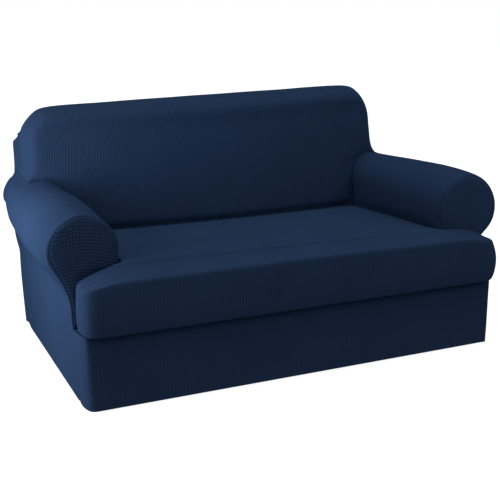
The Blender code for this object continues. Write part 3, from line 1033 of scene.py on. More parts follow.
@dataclass
class BodyCover:
    """The cover of the back, the arms and the base, down to the floor."""

    sizes: BodySizes = BodySizes()

    def face_y(self, x: float, z: float) -> float:
        """Depth of the back's front face at a place on it."""
        sizes = self.sizes
        rise = max(z - sizes.seat_z, 0.0)
        inward = 1.0 - (x / sizes.face_half_width) ** 2
        share = min(rise / (sizes.back[0].top_z - sizes.seat_z), 1.0)
        belly = sizes.face_belly * 4.0 * share * (1.0 - share)
        padding = sizes.face_bulge * (1.0 - rise) + belly
        return sizes.face_foot_y + sizes.face_lean * rise - padding * inward

    def on_face(self, row: Row) -> Row:
        """The points, moved in depth onto the back's front face."""
        return [(x, self.face_y(x, z), z) for x, _, z in row]

    def arm_profile(self, section: ArmSection, side: Side) -> Row:
        """Points of an arm section.

        Args:
            section: the section.
            side: the side that the arm is on; it is drawn as if on the right.

        Returns:
            Its points, from the floor over the roll and down to the deck.
        """
        extra = section.right_extra if side is Side.RIGHT else 0.0
        drop = section.left_drop if side is Side.LEFT else 0.0
        centre = (section.centre_x + extra, section.centre_z - drop)
        radius, y = section.radius + extra, section.y
        profile = [(section.side_x * row.width_share, y, row.z) for row in self.sizes.side_rows]
        profile += [(section.side_x + row.flare, y, row.z) for row in self.sizes.neck_rows]
        profile += [(x, y, z) for x, z in arc(centre, radius, self.sizes.roll_angles)]
        overhang = section.inner_x - (centre[0] - radius)
        for row in self.sizes.inner_rows:
            profile.append((section.inner_x - overhang * row.overhang_share, y, row.z))
        return profile

    def back_outline(self, section: BackSection, crest: Point, lean_z: float) -> Row:
        """Points of a back section.

        Args:
            section: the section.
            crest: where it starts, on the arm.
            lean_z: the height from which it leans back, the same on both sides.

        Returns:
            Its points, from the crest up its side and over to its middle.
        """
        corner_x = section.side_x - section.corner_radius
        corner_z = section.top_z - section.corner_radius
        rise = [(section.side_x, (crest[2] + corner_z) / 2)]
        rise += arc((corner_x, corner_z), section.corner_radius, self.sizes.corner_angles)
        rise += [(corner_x * share, section.top_z) for share in self.sizes.top_shares]
        return [crest] + [(x, crest[1] + section.lean * (z - lean_z), z) for x, z in rise]

    def centre_row(self, edge_point: Point) -> Row:
        """Points from the middle of the cover straight out to a point."""
        x, y, z = edge_point
        cells = self.sizes.centre_cells
        return [(x * k / cells, y, z) for k in range(cells + 1)]

    def wrap_cloth(self, rows: list[Row], heights: Row, starts: list[float]) -> list[list[Cloth]]:
        """Cloth places of an arm wrap, which lies over the arm from the floor to the deck.

        Args:
            rows: arm profiles, or the outer parts of them.
            heights: the profile whose lengths are the places up the cloth.
            starts: for each row, the place along the cloth of its crest.

        Returns:
            The rows as cloth places.
        """
        crest = self.sizes.roll_place(self.sizes.crest_angle)
        up = run_lengths(heights)
        places = []
        for row, start in zip(rows, starts):
            depths = [start + point[1] - row[crest][1] for point in row]
            places.append(list(zip(depths, up)))
        return places

    def add_arm(self, half: Half) -> tuple[list[Row], list[Row]]:
        """Add an arm's wrap.

        Args:
            half: the side that it is on.

        Returns:
            The rows from the front to the back's face, and the rows behind them.
        """
        crest = self.sizes.roll_place(self.sizes.crest_angle)
        front = [self.arm_profile(section, half.side) for section in self.sizes.arm_front]
        behind = [self.arm_profile(section, half.side) for section in self.sizes.arm_back]
        for profile, back in zip(behind, self.sizes.back):
            profile[crest] = (back.foot_x, *profile[crest][1:])
        # Inside the arm the wrap stops at the back's face; outside it goes on to the rear.
        meeting = behind[0][:crest] + self.on_face(behind[0][crest:])
        inner_rows = front + [meeting]
        outer_rows = [row[: crest + 1] for row in [meeting] + behind[1:]]
        wrap = half.own("arm_wrap")
        starts = run_lengths([row[crest] for row in front + outer_rows])
        front_starts, outer_starts = starts[: len(front) + 1], starts[len(front) :]
        heights = front[self.sizes.cloth_profile]
        half.patch(inner_rows, self.wrap_cloth(inner_rows, heights, front_starts), wrap)
        half.patch(outer_rows, self.wrap_cloth(outer_rows, heights, outer_starts), wrap)
        return inner_rows, outer_rows

    def add_back(self, half: Half, meeting: Row, outer_rows: list[Row]) -> Row:
        """Add the inside and the outside back between the arms.

        Args:
            half: the side to build.
            meeting: the row where the arm meets the back's face.
            outer_rows: that row and the ones behind it, up to the arm's crest.

        Returns:
            The foot of the back's face.
        """
        sizes = self.sizes
        crest = sizes.roll_place(sizes.crest_angle)
        corner = len(sizes.corner_angles)
        outlines = []
        rise = math.sin(math.radians(sizes.crest_angle))
        for section, arm, row in zip(sizes.back, sizes.arm_back, outer_rows):
            lean_z = arm.centre_z + arm.radius * rise
            outlines.append(self.back_outline(section, row[crest], lean_z))
        outlines[0] = self.on_face(outlines[0])
        half.patch(outlines, self.edge_cloth(outlines), Panel.BACK_INSIDE)

        foot = self.on_face(self.centre_row(meeting[-1]))
        edge = meeting[crest:][::-1] + outlines[0][1 : corner + 1]
        top = outlines[0][corner:][::-1]
        face = coons(foot, top, column_between(foot[0], top[0], len(edge)), edge)
        face = [self.on_face(row[:-1]) + row[-1:] for row in face[:-1]] + face[-1:]
        half.patch(face, flat_cloth(face, 0, 2), Panel.BACK_INSIDE)

        rear_edge = outer_rows[-1] + outlines[-1][1 : corner + 1]
        rear_top = outlines[-1][corner:][::-1]
        rear_foot = self.centre_row(rear_edge[0])
        rear_middle = column_between(rear_foot[0], rear_top[0], len(rear_edge))
        rear = relaxed(coons(rear_foot, rear_top, rear_middle, rear_edge))
        half.patch(rear, flat_cloth(rear, 0, 2), Panel.BACK_OUTSIDE)
        return foot

    def edge_cloth(self, outlines: list[Row]) -> list[list[Cloth]]:
        """Cloth places of the back's edge, which carries on outward from its face.

        Args:
            outlines: sections of the edge, the face's own outline first.

        Returns:
            The rows as cloth places.
        """
        face = np.array(outlines[0])[:, [0, 2]]
        along = np.gradient(face, axis=0)
        outward = np.stack([along[:, 1], -along[:, 0]], axis=1)
        outward /= np.linalg.norm(outward, axis=1, keepdims=True)
        depths = np.zeros(len(face))
        places = [face]
        for before, here in zip(outlines, outlines[1:]):
            depths = depths + np.linalg.norm(np.subtract(here, before), axis=1)
            places.append(face + outward * depths[:, None])
        return [[tuple(place) for place in row.tolist()] for row in places]

    def add_arm_front(self, half: Half, seam: Row) -> Row:
        """Add the round front of an arm inside its seam.

        Args:
            half: the side that it is on.
            seam: the arm's first profile.

        Returns:
            Its foot on the deck.
        """
        sizes = self.sizes
        top_outer, top_inner = (sizes.roll_place(angle) for angle in sizes.face_top_angles)
        outer = seam[sizes.deck_place : top_outer + 1]
        top = seam[top_outer : top_inner + 1]
        inner = seam[top_inner:][::-1]
        foot = column_between(outer[0], inner[0], len(top))
        rows = coons(foot, top, outer, inner)
        for row in rows[2:-1]:
            row[1:-1] = [(x, y - sizes.face_dome, z) for x, y, z in row[1:-1]]
        panel = half.own("arm_front")
        half.patch(rows, self.fanned_cloth(rows), panel)
        return foot

    def fanned_cloth(self, rows: list[Row]) -> list[list[Cloth]]:
        """Cloth places of an arm front, whose knit is drawn together towards its neck."""
        sizes = self.sizes
        top = sizes.arm_front[0].centre_z + sizes.arm_front[0].radius
        places = []
        for row in rows:
            line = []
            for x, _, z in row:
                away = x - sizes.fan_x
                draw = sizes.fan_draw * max(top - z, 0.0)
                line.append((away * (1.0 + draw), z + sizes.fan_sag * away**2))
            places.append(line)
        return places

    def add_deck(self, half: Half, face_foot: Row, inner_rows: list[Row], back_foot: Row) -> Row:
        """Add the seat deck.

        Args:
            half: the side to build.
            face_foot: foot of the arm's front.
            inner_rows: the arm's rows up to the back's face.
            back_foot: foot of the back's face.

        Returns:
            The deck's front edge, from the arm front's seam to the middle.
        """
        sizes = self.sizes
        on_right = half.side is Side.RIGHT
        radius = sizes.right_corner_radius if on_right else sizes.left_corner_radius
        diagonal = radius * (1.0 - math.sqrt(0.5))
        z = sizes.deck_z
        corner = (sizes.base_half_width - diagonal, sizes.apron_y + diagonal, z)
        beside = (sizes.base_half_width, (face_foot[0][1] + corner[1]) / 2, z)
        side = [face_foot[0], beside, corner]
        straight = (sizes.base_half_width - radius, sizes.apron_y, z)
        front_end = (face_foot[-1][0], sizes.apron_y, z)
        front = [corner] + column_between(straight, front_end, len(face_foot) - 1)
        inner = column_between(face_foot[-1], front_end, len(side))
        ear = coons(face_foot, front, side, inner)
        half.patch(ear, flat_cloth(ear, 0, 1), Panel.SEAT_DECK)

        deck_edge = inner[::-1] + [row[-1] for row in inner_rows[1:-1]]
        deck = [self.centre_row(point) for point in deck_edge] + [back_foot]
        half.patch(deck, flat_cloth(deck, 0, 1), Panel.SEAT_DECK)
        return side + front[1:] + deck[0][-2::-1]

    def add_half(self, half: Half) -> None:
        """Add all the patches on one side."""
        inner_rows, outer_rows = self.add_arm(half)
        back_foot = self.add_back(half, inner_rows[-1], outer_rows)
        face_foot = self.add_arm_front(half, inner_rows[0])
        deck_front = self.add_deck(half, face_foot, inner_rows, back_foot)
        rows = self.sizes.side_rows
        apron = [[(x * row.width_share, y, row.z) for x, y, _ in deck_front] for row in rows]
        lengths = run_lengths(deck_front)
        along = [lengths[-1] - length for length in lengths]
        cloth = [[(u, row.z) for u in along] for row in rows]
        half.patch(apron, cloth, Panel.FRONT_APRON)

    def away_from_top(self, surface: ClothSurface) -> Array:
        """Which points lie outside the soft padding at the top of the back's face."""
        sizes = self.sizes
        return (surface.points[:, 2] < sizes.soft_from_z) | (surface.points[:, 1] > sizes.soft_to_y)

    def lean_top(self, surface: ClothSurface) -> None:
        """Raise one end of the back's top, which is not quite level."""
        sizes = self.sizes
        rise = (surface.points[:, 2] - sizes.tilt_from_z) / (sizes.tilt_full_z - sizes.tilt_from_z)
        across = surface.points[:, 0] / sizes.base_half_width
        surface.points[:, 2] += sizes.back_tilt * np.clip(rise, 0.0, 1.0) * across

    def surface(self, smoother: Smoother) -> ClothSurface:
        """The cover's outer surface, with its folds.

        Args:
            smoother: turns the net into a smooth surface.

        Returns:
            The surface.
        """
        cage = Cage()
        for side in Side:
            self.add_half(Half(cage, side))
        surface, sizes = smoother.smoothed(cage), self.sizes
        surface.ease(sizes.ease_rounds, sizes.ease_sharp_degrees)
        firm = self.away_from_top(surface)
        surface.ease(sizes.soft_ease_rounds, sizes.soft_sharp_degrees, stay=firm)
        self.lean_top(surface)
        surface.sway(sizes.swell_height, sizes.swell_scale, sizes.swell_seed)
        surface.crease(BODY_CREASES)
        return surface


@dataclass
class CushionCover:
    """The cover of the T-shaped seat cushion."""

    body: BodyCover
    sizes: CushionSizes = CushionSizes()

    def inset_ring(self, outline: list[Pair], inset: float) -> list[Pair]:
        """The closed outline, drawn in with its corners mitred.

        Args:
            outline: points in plan.
            inset: how far it is drawn in.

        Returns:
            The new outline.
        """
        ring = []
        before_each, after_each = outline[-1:] + outline[:-1], outline[1:] + outline[:1]
        for before, here, after in zip(before_each, outline, after_each):
            first, second = np.subtract(here, before), np.subtract(after, here)
            first_in = np.array((first[1], -first[0])) / np.linalg.norm(first)
            second_in = np.array((second[1], -second[0])) / np.linalg.norm(second)
            shift = (first_in + second_in) / (1.0 + first_in @ second_in)
            ring.append(tuple(np.add(here, shift * inset)))
        return ring

    def tucked(self, x: float, top_share: float) -> float:
        """X of a point of the band, which is drawn in over and under the right ear's end."""
        share = min(max((x - self.sizes.ear_start) / self.sizes.tuck_run, 0.0), 1.0)
        return x - self.sizes.right_ear_tuck * share * (2.0 * top_share - 1.0) ** 2

    def half_outline(self, side: Side) -> Row:
        """The widest outline of one half, with the height of its top seam.

        Args:
            side: which half; it is drawn as if on the right.

        Returns:
            Its points, from the middle of the back to the middle of the front.
        """
        sizes = self.sizes
        on_right = side is Side.RIGHT
        stretch = sizes.right_ear_stretch if on_right else sizes.left_ear_stretch
        half = []
        for x, seam_z in sizes.back_points:
            y = self.body.face_y(x, self.body.sizes.seat_z) - sizes.clearance
            half.append((x, y, seam_z))
        x, y, seam_z = half[-1]
        half[-1] = (x, y - sizes.back_corner_trim, seam_z)
        for point in sizes.outline:
            ear = max(point.x - sizes.ear_start, 0.0) * stretch
            seam_z = point.seam_z + (0.0 if on_right else point.left_rise)
            half.append((min(point.x, sizes.ear_start) + ear, point.y, seam_z))
        return half

    def crowned(self, rows: list[Row]) -> list[Row]:
        """The rows, but for the last, with all but their ends raised by the crown."""
        sizes = self.sizes
        half_width = max(point.x for point in sizes.outline)
        front_y = sizes.outline[-1].y
        middle_y = (self.body.sizes.face_foot_y + front_y) / 2
        raised = []
        for row in rows[:-1]:
            middle = []
            for x, y, z in row[1:-1]:
                across = abs(x / half_width) ** sizes.crown_power
                along = abs((y - middle_y) / (middle_y - front_y)) ** sizes.crown_power
                middle.append((x, y, z + sizes.crown * max((1.0 - across) * (1.0 - along), 0.0)))
            raised.append(row[:1] + middle + row[-1:])
        return raised + rows[-1:]

    def band_cloth(self, rings: list[Row]) -> list[list[Cloth]]:
        """Cloth places of the band: along it from the middle of its front, and down it."""
        along = run_lengths(rings[1])
        middle = len(self.half_outline(Side.RIGHT)) - 1
        down = [0.0]
        for before, here in zip(rings, rings[1:]):
            down.append(down[-1] - math.dist(before[middle], here[middle]))
        return [[(u - along[middle], v) for u in along] for v in down]

    def cage(self) -> Cage:
        """Net of the cover: its top and the band round it, which is open underneath."""
        cage, sizes = Cage(), self.sizes
        right = self.half_outline(Side.RIGHT)
        outline = [*right, *mirrored(self.half_outline(Side.LEFT)[-2:0:-1])]
        rings = []
        for ring in sizes.rings:
            plan = self.inset_ring([(x, y) for x, y, _ in outline], ring.inset)
            plan = [(self.tucked(x, ring.top_share), y) for x, y in plan]
            seam_heights = [seam_z - sizes.foot_z for _, _, seam_z in outline]
            heights = [sizes.foot_z + height * ring.top_share for height in seam_heights]
            rings.append([(x, y, z) for (x, y), z in zip(plan, heights)])
        closed = [ring + ring[:1] for ring in rings]
        cage.patch(closed, self.band_cloth(closed), Panel.CUSHION_BAND)

        top = rings[0]
        back_corner = sizes.back_cells
        inner_corner = back_corner + sizes.side_cells
        ear_back = inner_corner + sizes.ear_cells
        ear_front = ear_back + sizes.ear_side_cells

        def run(start: int, end: int) -> Row:
            """Points of the top seam between two places, counted past the middle."""
            step = 1 if end > start else -1
            return [top[place % len(top)] for place in range(start, end + step, step)]

        back_edge = run(-back_corner, back_corner)
        line = column_between(top[-inner_corner], top[inner_corner], len(back_edge))
        left, right_side = run(-inner_corner, -back_corner), run(inner_corner, back_corner)
        seat = self.crowned(coons(line, back_edge, left, right_side))
        cage.patch(seat, flat_cloth(seat, 0, 1), Panel.CUSHION_TOP)

        rear = run(-ear_back, -inner_corner)[:-1] + seat[0] + run(inner_corner, ear_back)[1:]
        front_edge = run(len(top) - ear_front, ear_front)
        ears = coons(rear, front_edge, run(-ear_back, -ear_front), run(ear_back, ear_front))
        ears = [rear] + self.crowned(ears)[1:]
        cage.patch(ears, flat_cloth(ears, 0, 1), Panel.CUSHION_TOP)
        return cage

    def surface(self, smoother: Smoother) -> ClothSurface:
        """The cover's outer surface, with its folds.

        Args:
            smoother: turns the net into a smooth surface.

        Returns:
            The surface.
        """
        surface, sizes = smoother.smoothed(self.cage()), self.sizes
        seams = surface.seam_points()
        surface.ease(sizes.ease_rounds, sizes.ease_sharp_degrees, stay=seams)
        return surface


# ---- Node trees ----


class NodeBuilder:
    """Adds nodes to a shader tree or a geometry tree."""

    def __init__(self, tree: bpy.types.NodeTree) -> None:
        """Work on a tree."""
        self.tree = tree

    def node(
        self,
        kind: str,
        settings: dict[str, object] | None = None,
        inputs: dict[str | int, object] | None = None,
    ) -> bpy.types.Node:
        """Add a node.

        Args:
            kind: the node's type.
            settings: its own settings, which are set first.
            inputs: values, signals, sockets, or nodes that stand for their first
                output, by the input's name or number.

        Returns:
            The node.
        """
        node = self.tree.nodes.new(kind)
        for name, value in (settings or {}).items():
            setattr(node, name, value)
        for key, value in (inputs or {}).items():
            if isinstance(value, Signal):
                value = value.socket
            elif isinstance(value, bpy.types.Node):
                value = value.outputs[0]
            if isinstance(value, bpy.types.NodeSocket):
                self.tree.links.new(value, node.inputs[key])
            else:
                node.inputs[key].default_value = value
        return node

    def signal(self, node: bpy.types.Node, output: str | int = 0) -> "Signal":
        """One number output of a node, ready for arithmetic."""
        return Signal(self, node.outputs[output])

    def math(self, operation: str, *values: "Signal | float") -> "Signal":
        """Result of a Math node on signals and numbers."""
        node = self.node("ShaderNodeMath", {"operation": operation}, dict(enumerate(values)))
        return self.signal(node)

    def smooth_rise(self, value: "Signal", low: float, high: float) -> "Signal":
        """Smooth rise from 0 where the value is low to 1 where it is high."""
        node = self.node(
            "ShaderNodeMapRange",
            {"interpolation_type": "SMOOTHSTEP"},
            {"Value": value, "From Min": low, "From Max": high},
        )
        return self.signal(node)

    def mixed_color(self, share: "Signal", low: Color, high: Color) -> bpy.types.NodeSocket:
        """Colour at a share of the way from low to high."""
        node = self.node(
            "ShaderNodeMix",
            {"data_type": "RGBA"},
            {"Factor": share, "A": (*low, 1.0), "B": (*high, 1.0)},
        )
        return node.outputs["Result"]


@dataclass(frozen=True)
class Signal:
    """A number in a node tree that takes part in ordinary arithmetic."""

    nodes: NodeBuilder
    socket: bpy.types.NodeSocket

    def __add__(self, other: "Signal | float") -> "Signal":
        """Sum."""
        return self.nodes.math("ADD", self, other)

    def __sub__(self, other: "Signal | float") -> "Signal":
        """Difference."""
        return self.nodes.math("SUBTRACT", self, other)

    def __rsub__(self, other: float) -> "Signal":
        """Difference, with the number first."""
        return self.nodes.math("SUBTRACT", other, self)

    def __mul__(self, other: "Signal | float") -> "Signal":
        """Product."""
        return self.nodes.math("MULTIPLY", self, other)

    def __truediv__(self, other: "Signal | float") -> "Signal":
        """Quotient."""
        return self.nodes.math("DIVIDE", self, other)

    def __abs__(self) -> "Signal":
        """Size without its sign."""
        return self.nodes.math("ABSOLUTE", self)

    def fraction(self) -> "Signal":
        """What is left above the whole number below."""
        return self.nodes.math("FRACT", self)


# ---- Finishes ----


@dataclass(frozen=True)
class WaffleKnit:
    """Stretch knit with raised ribs both ways round sunk squares.

    The ribs follow the cloth's own coordinates. Where a panel is drawn tight one
    way, the ribs across that way show less: upright and level are their strengths.
    The tone runs from the square's colour at 0 to the rib's at 1. It is partly the knit's own
    pattern and partly painted shade in the sunk squares with painted light on the ribs, so the
    strengths also set how much of that painted light and shade shows on each panel.
    """

    name: str
    upright: float
    level: float
    pitch: float = 0.0096
    rib_height: float = 0.0011
    # Square and rib colours: the knit's own two tones, with painted shade darkening the squares and
    # painted light brightening the ribs.
    square: Color = (0.0165, 0.0335, 0.0760)
    rib: Color = (0.0275, 0.0560, 0.1270)
    roughness: float = 0.9
    specular: float = 0.0
    rib_foot: float = 0.45
    rib_top: float = 0.85
    least_tone: float = 0.1
    rib_tone: float = 0.6
    patch_scale: float = 7.0
    patch_tone: float = 0.35
    fuzz_scale: float = 420.0
    fuzz_tone: float = 0.3
    fuzz_height: float = 0.5

    def ribs(self, nodes: NodeBuilder, place: Signal) -> Signal:
        """Ribs that cross one cloth coordinate, from 0 in a square to 1 on a rib."""
        away = abs((place / self.pitch).fraction() - 0.5) * 2.0
        return nodes.smooth_rise(away, self.rib_foot, self.rib_top)

    def build(self) -> bpy.types.Material:
        """Make the material."""
        material = bpy.data.materials.new(self.name)
        material.use_nodes = True
        nodes = NodeBuilder(material.node_tree)
        shader = material.node_tree.nodes["Principled BSDF"]
        cloth = nodes.node("ShaderNodeUVMap", {"uv_map": "cloth"})
        split = nodes.node("ShaderNodeSeparateXYZ", {}, {"Vector": cloth.outputs["UV"]})
        upright = self.ribs(nodes, nodes.signal(split, "X")) * self.upright
        level = self.ribs(nodes, nodes.signal(split, "Y")) * self.level
        rib = 1.0 - (1.0 - upright) * (1.0 - level)

        place = nodes.node("ShaderNodeTexCoord")
        patchy = self.noise(nodes, place, self.patch_scale) * self.patch_tone
        fuzz = self.noise(nodes, place, self.fuzz_scale)
        # The rib tone paints the ribs lighter and the squares darker, partly as painted light and
        # shade of the relief that the bump below also gives.
        tone = (rib + upright * level) * self.rib_tone + patchy
        tone = tone + fuzz * self.fuzz_tone + self.least_tone
        color = nodes.mixed_color(tone, self.square, self.rib)
        relief = {"Distance": self.rib_height, "Height": rib + fuzz * self.fuzz_height}
        bump = nodes.node("ShaderNodeBump", {}, {**relief, "Strength": 1.0})
        material.node_tree.links.new(color, shader.inputs["Base Color"])
        material.node_tree.links.new(bump.outputs["Normal"], shader.inputs["Normal"])
        shader.inputs["Roughness"].default_value = self.roughness
        shader.inputs["Specular IOR Level"].default_value = self.specular
        return material

    def noise(self, nodes: NodeBuilder, place: bpy.types.Node, scale: float) -> Signal:
        """Even noise about 0, over the object's own coordinates."""
        inputs = {"Vector": place.outputs["Object"], "Scale": scale, "Detail": 2.0}
        return nodes.signal(nodes.node("ShaderNodeTexNoise", {}, inputs), "Fac") - 0.5


@dataclass(frozen=True)
class PlainFinish:
    """An even colour without gloss, which may glow a little."""

    name: str
    color: Color
    roughness: float = 0.9
    specular: float = 0.1
    glow: float = 0.0

    def build(self) -> bpy.types.Material:
        """Make the material."""
        material = bpy.data.materials.new(self.name)
        material.use_nodes = True
        shader = material.node_tree.nodes["Principled BSDF"]
        shader.inputs["Base Color"].default_value = (*self.color, 1.0)
        shader.inputs["Roughness"].default_value = self.roughness
        shader.inputs["Specular IOR Level"].default_value = self.specular
        shader.inputs["Emission Color"].default_value = (1.0, 1.0, 1.0, 1.0)
        shader.inputs["Emission Strength"].default_value = self.glow
        return material


THREAD = PlainFinish("navy_thread", (0.018, 0.038, 0.085))
FLOOR = PlainFinish("floor", (0.45, 0.45, 0.45), glow=0.8)


# ---- Stitches ----


@dataclass(frozen=True)
class HemStitches:
    """Rows of short stitches that hold up the hem at the floor."""

    heights: tuple[float, ...] = (0.014, 0.019)
    spacing: float = 0.0055
    length: float = 0.0036
    radius: float = 0.0005
    sides: int = 6

    def hem_lines(self, mesh: SheetMesh) -> tuple[list[Point], list[tuple[int, int]]]:
        """Where level cuts meet the outer surface of a panel.

        Args:
            mesh: the panel's outer surface.

        Returns:
            The points of the cuts, and the pairs of them that are joined.
        """
        numbers: dict[tuple[int, int, int], int] = {}
        points, lines = [], []
        for level, height in enumerate(self.heights):
            above = mesh.points[mesh.quads][:, :, 2] > height
            for quad in mesh.quads[above.any(axis=1) & ~above.all(axis=1)].tolist():
                ends = []
                for first, second in zip(quad, quad[1:] + quad[:1]):
                    low, high = sorted((first, second))
                    start, end = mesh.points[low], mesh.points[high]
                    if (start[2] > height) == (end[2] > height):
                        continue
                    if (level, low, high) not in numbers:
                        numbers[level, low, high] = len(points)
                        share = (height - start[2]) / (end[2] - start[2])
                        points.append(tuple(start + (end - start) * share))
                    ends.append(numbers[level, low, high])
                if len(ends) == 2:
                    lines.append(tuple(ends))
        return points, lines

    def tree(self) -> bpy.types.NodeTree:
        """Node tree that sets a stitch at every step along the lines."""
        tree = bpy.data.node_groups.new("hem_stitches", "GeometryNodeTree")
        given_kinds = {
            "Lines": "NodeSocketGeometry",
            "Spacing": "NodeSocketFloat",
            "Length": "NodeSocketFloat",
            "Radius": "NodeSocketFloat",
            "Thread": "NodeSocketMaterial",
        }
        for name, kind in given_kinds.items():
            tree.interface.new_socket(name, in_out="INPUT", socket_type=kind)
        tree.interface.new_socket("Stitches", in_out="OUTPUT", socket_type="NodeSocketGeometry")

        nodes = NodeBuilder(tree)
        given = nodes.node("NodeGroupInput").outputs
        curve = nodes.node("GeometryNodeMeshToCurve", {}, {"Mesh": given["Lines"]})
        spaced = {"Curve": curve, "Length": given["Spacing"]}
        steps = nodes.node("GeometryNodeResampleCurve", {"mode": "LENGTH"}, spaced)
        shape = {"Vertices": self.sides, "Radius": given["Radius"], "Depth": given["Length"]}
        stitch = nodes.node("GeometryNodeMeshCylinder", {}, shape)
        tangent = nodes.node("GeometryNodeInputTangent")
        turn = nodes.node(
            "FunctionNodeAlignRotationToVector", {"axis": "Z"}, {"Vector": tangent}
        )
        laid = {"Points": steps, "Instance": stitch, "Rotation": turn}
        rows = nodes.node("GeometryNodeInstanceOnPoints", {}, laid)
        real = nodes.node("GeometryNodeRealizeInstances", {}, {"Geometry": rows})
        sewn = {"Geometry": real, "Material": given["Thread"]}
        thread = nodes.node("GeometryNodeSetMaterial", {}, sewn)
        nodes.node("NodeGroupOutput", {}, {"Stitches": thread})
        return tree

    def build(
        self, name: str, mesh: SheetMesh, tree: bpy.types.NodeTree, thread: bpy.types.Material
    ) -> bpy.types.Object:
        """Make the stitches of one panel's hem.

        Args:
            name: name of the new object.
            mesh: the panel's outer surface.
            tree: the stitches' node tree.
            thread: their material.

        Returns:
            The object, a plain mesh.
        """
        points, lines = self.hem_lines(mesh)
        path = bpy.data.meshes.new(name + "_path")
        path.from_pydata(points, lines, [])
        stitches = add_object(name, path)
        modifier = stitches.modifiers.new("stitches", "NODES")
        modifier.node_group = tree
        values = {
            "Spacing": self.spacing,
            "Length": self.length,
            "Radius": self.radius,
            "Thread": thread,
        }
        for item in tree.interface.items_tree:
            if item.name in values:
                modifier[item.identifier] = values[item.name]
        plain = plain_mesh(stitches)
        stitches.modifiers.remove(modifier)
        stitches.data = plain
        bpy.data.meshes.remove(path)
        plain.name = name
        return stitches


# ---- Panels, dressed ----


@dataclass(frozen=True)
class PanelCut:
    """How a panel was cut before it was stretched over the sofa."""

    panel: Panel
    flat: tuple[float, float]
    area: float
    knit: str
    rests_on: tuple[str, ...] = ()
    has_hem: bool = False


PANEL_CUTS = (
    PanelCut(Panel.ARM_WRAP_LEFT, (0.85, 0.96), 0.79, "knit_arm", has_hem=True),
    PanelCut(Panel.ARM_WRAP_RIGHT, (0.85, 0.96), 0.79, "knit_arm", has_hem=True),
    PanelCut(Panel.ARM_FRONT_LEFT, (0.24, 0.34), 0.050, "knit_arm_front"),
    PanelCut(Panel.ARM_FRONT_RIGHT, (0.26, 0.35), 0.057, "knit_arm_front_tight_lit"),
    PanelCut(Panel.FRONT_APRON, (1.55, 0.23), 0.345, "knit_base", has_hem=True),
    PanelCut(Panel.SEAT_DECK, (1.35, 0.66), 0.75, "knit_base"),
    PanelCut(Panel.BACK_INSIDE, (1.60, 0.95), 1.15, "knit_back"),
    PanelCut(Panel.BACK_OUTSIDE, (1.36, 0.78), 0.99, "knit_back", has_hem=True),
    PanelCut(Panel.CUSHION_TOP, (1.38, 0.66), 0.73, "knit_seat", ("cushion_band",)),
    PanelCut(Panel.CUSHION_BAND, (0.155, 4.00), 0.60, "knit_cushion", ("seat_deck",)),
)
KNITS = (
    # The left arm front's knit: darker squares and full-strength ribs, painted shade of a disc that
    # faces away from the light.
    WaffleKnit("knit_arm_front", 1.0, 1.0, 0.0100, 0.0013, (0.0130, 0.0262, 0.0595)),
    # The right arm front's knit: weak ribs where it is drawn tight, and lighter squares as painted
    # light on that front face.
    WaffleKnit("knit_arm_front_tight_lit", 0.16, 0.12, square=(0.0215, 0.0440, 0.1000)),
    WaffleKnit("knit_arm", 0.18, 0.14),
    WaffleKnit("knit_base", 0.50, 0.15),
    WaffleKnit("knit_back", 0.80, 0.20),
    WaffleKnit("knit_cushion", 0.38, 0.12),
    WaffleKnit("knit_seat", 0.30, 0.12),
)


@dataclass
class Dresser:
    """Makes the panels' sheets and their stitches, and tells the frame what they are."""

    materials: dict[str, bpy.types.Material]
    thread: bpy.types.Material
    hem: HemStitches = HemStitches()
    stitch_tree: bpy.types.NodeTree = field(init=False)

    def __post_init__(self) -> None:
        """Build the stitches' node tree, which all hems share."""
        self.stitch_tree = self.hem.tree()

    def tell(self, piece: bpy.types.Object, panel: Panel) -> None:
        """Say what a piece rides on and what it replaces, and log its faces."""
        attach(piece, "root")
        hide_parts(panel.value)
        LOG.info("%s: %d faces", piece.name, len(piece.data.polygons))

    def dress(self, cutter: PanelCutter, cut: PanelCut) -> bpy.types.Object:
        """Make one panel.

        Args:
            cutter: cuts panels out of the cover's surface.
            cut: the panel and its flat size.

        Returns:
            The panel's sheet.
        """
        mesh = cutter.cut(cut.panel)
        name = cut.panel.value
        sheet = mesh.to_object(name + "_knit", cutter.sizes)
        sheet.data.materials.append(self.materials[cut.knit])
        self.tell(sheet, cut.panel)
        if cut.has_hem:
            stitches = self.hem.build(name + "_hem_stitches", mesh, self.stitch_tree, self.thread)
            self.tell(stitches, cut.panel)
        return sheet


# ---- Studio ----


def from_front(bearing: float, height: float) -> Vector:
    """Direction from the covers at a bearing and a height, both in radians.

    Args:
        bearing: the angle round the covers from straight in front, towards their left.
        height: the angle above the floor.

    Returns:
        The direction, of length 1.
    """
    level = math.cos(height)
    return Vector((-math.sin(bearing) * level, -math.cos(bearing) * level, math.sin(height)))


def add_light(light: bpy.types.Light, place: Point, toward: Vector) -> None:
    """Put a light in the scene, at a place and turned to shine a way."""
    lamp = add_object(light.name, light)
    lamp.location = place
    lamp.rotation_mode = "QUATERNION"
    lamp.rotation_quaternion = toward.to_track_quat("-Z", "Y")


@dataclass(frozen=True)
class SoftSun:
    """A wide, soft light from far away, in degrees.

    Its brightness is that of a white surface which faces it.
    """

    name: str
    bearing: float
    height: float
    brightness: float
    width: float = 45.0

    def build(self) -> None:
        """Make the light."""
        data = bpy.data.lights.new(self.name, "SUN")
        data.energy = math.pi * self.brightness
        data.angle = math.radians(self.width)
        source = from_front(math.radians(self.bearing), math.radians(self.height))
        add_light(data, (0.0, 0.0, 0.0), -source)


@dataclass(frozen=True)
class SoftBox:
    """A round, soft lamp close by, which lights what is near it most."""

    name: str
    place: Point
    aim: Point
    power: float
    width: float

    def build(self) -> None:
        """Make the light."""
        data = bpy.data.lights.new(self.name, "AREA")
        data.shape = "DISK"
        data.size = self.width
        data.energy = self.power
        add_light(data, self.place, Vector(self.aim) - Vector(self.place))


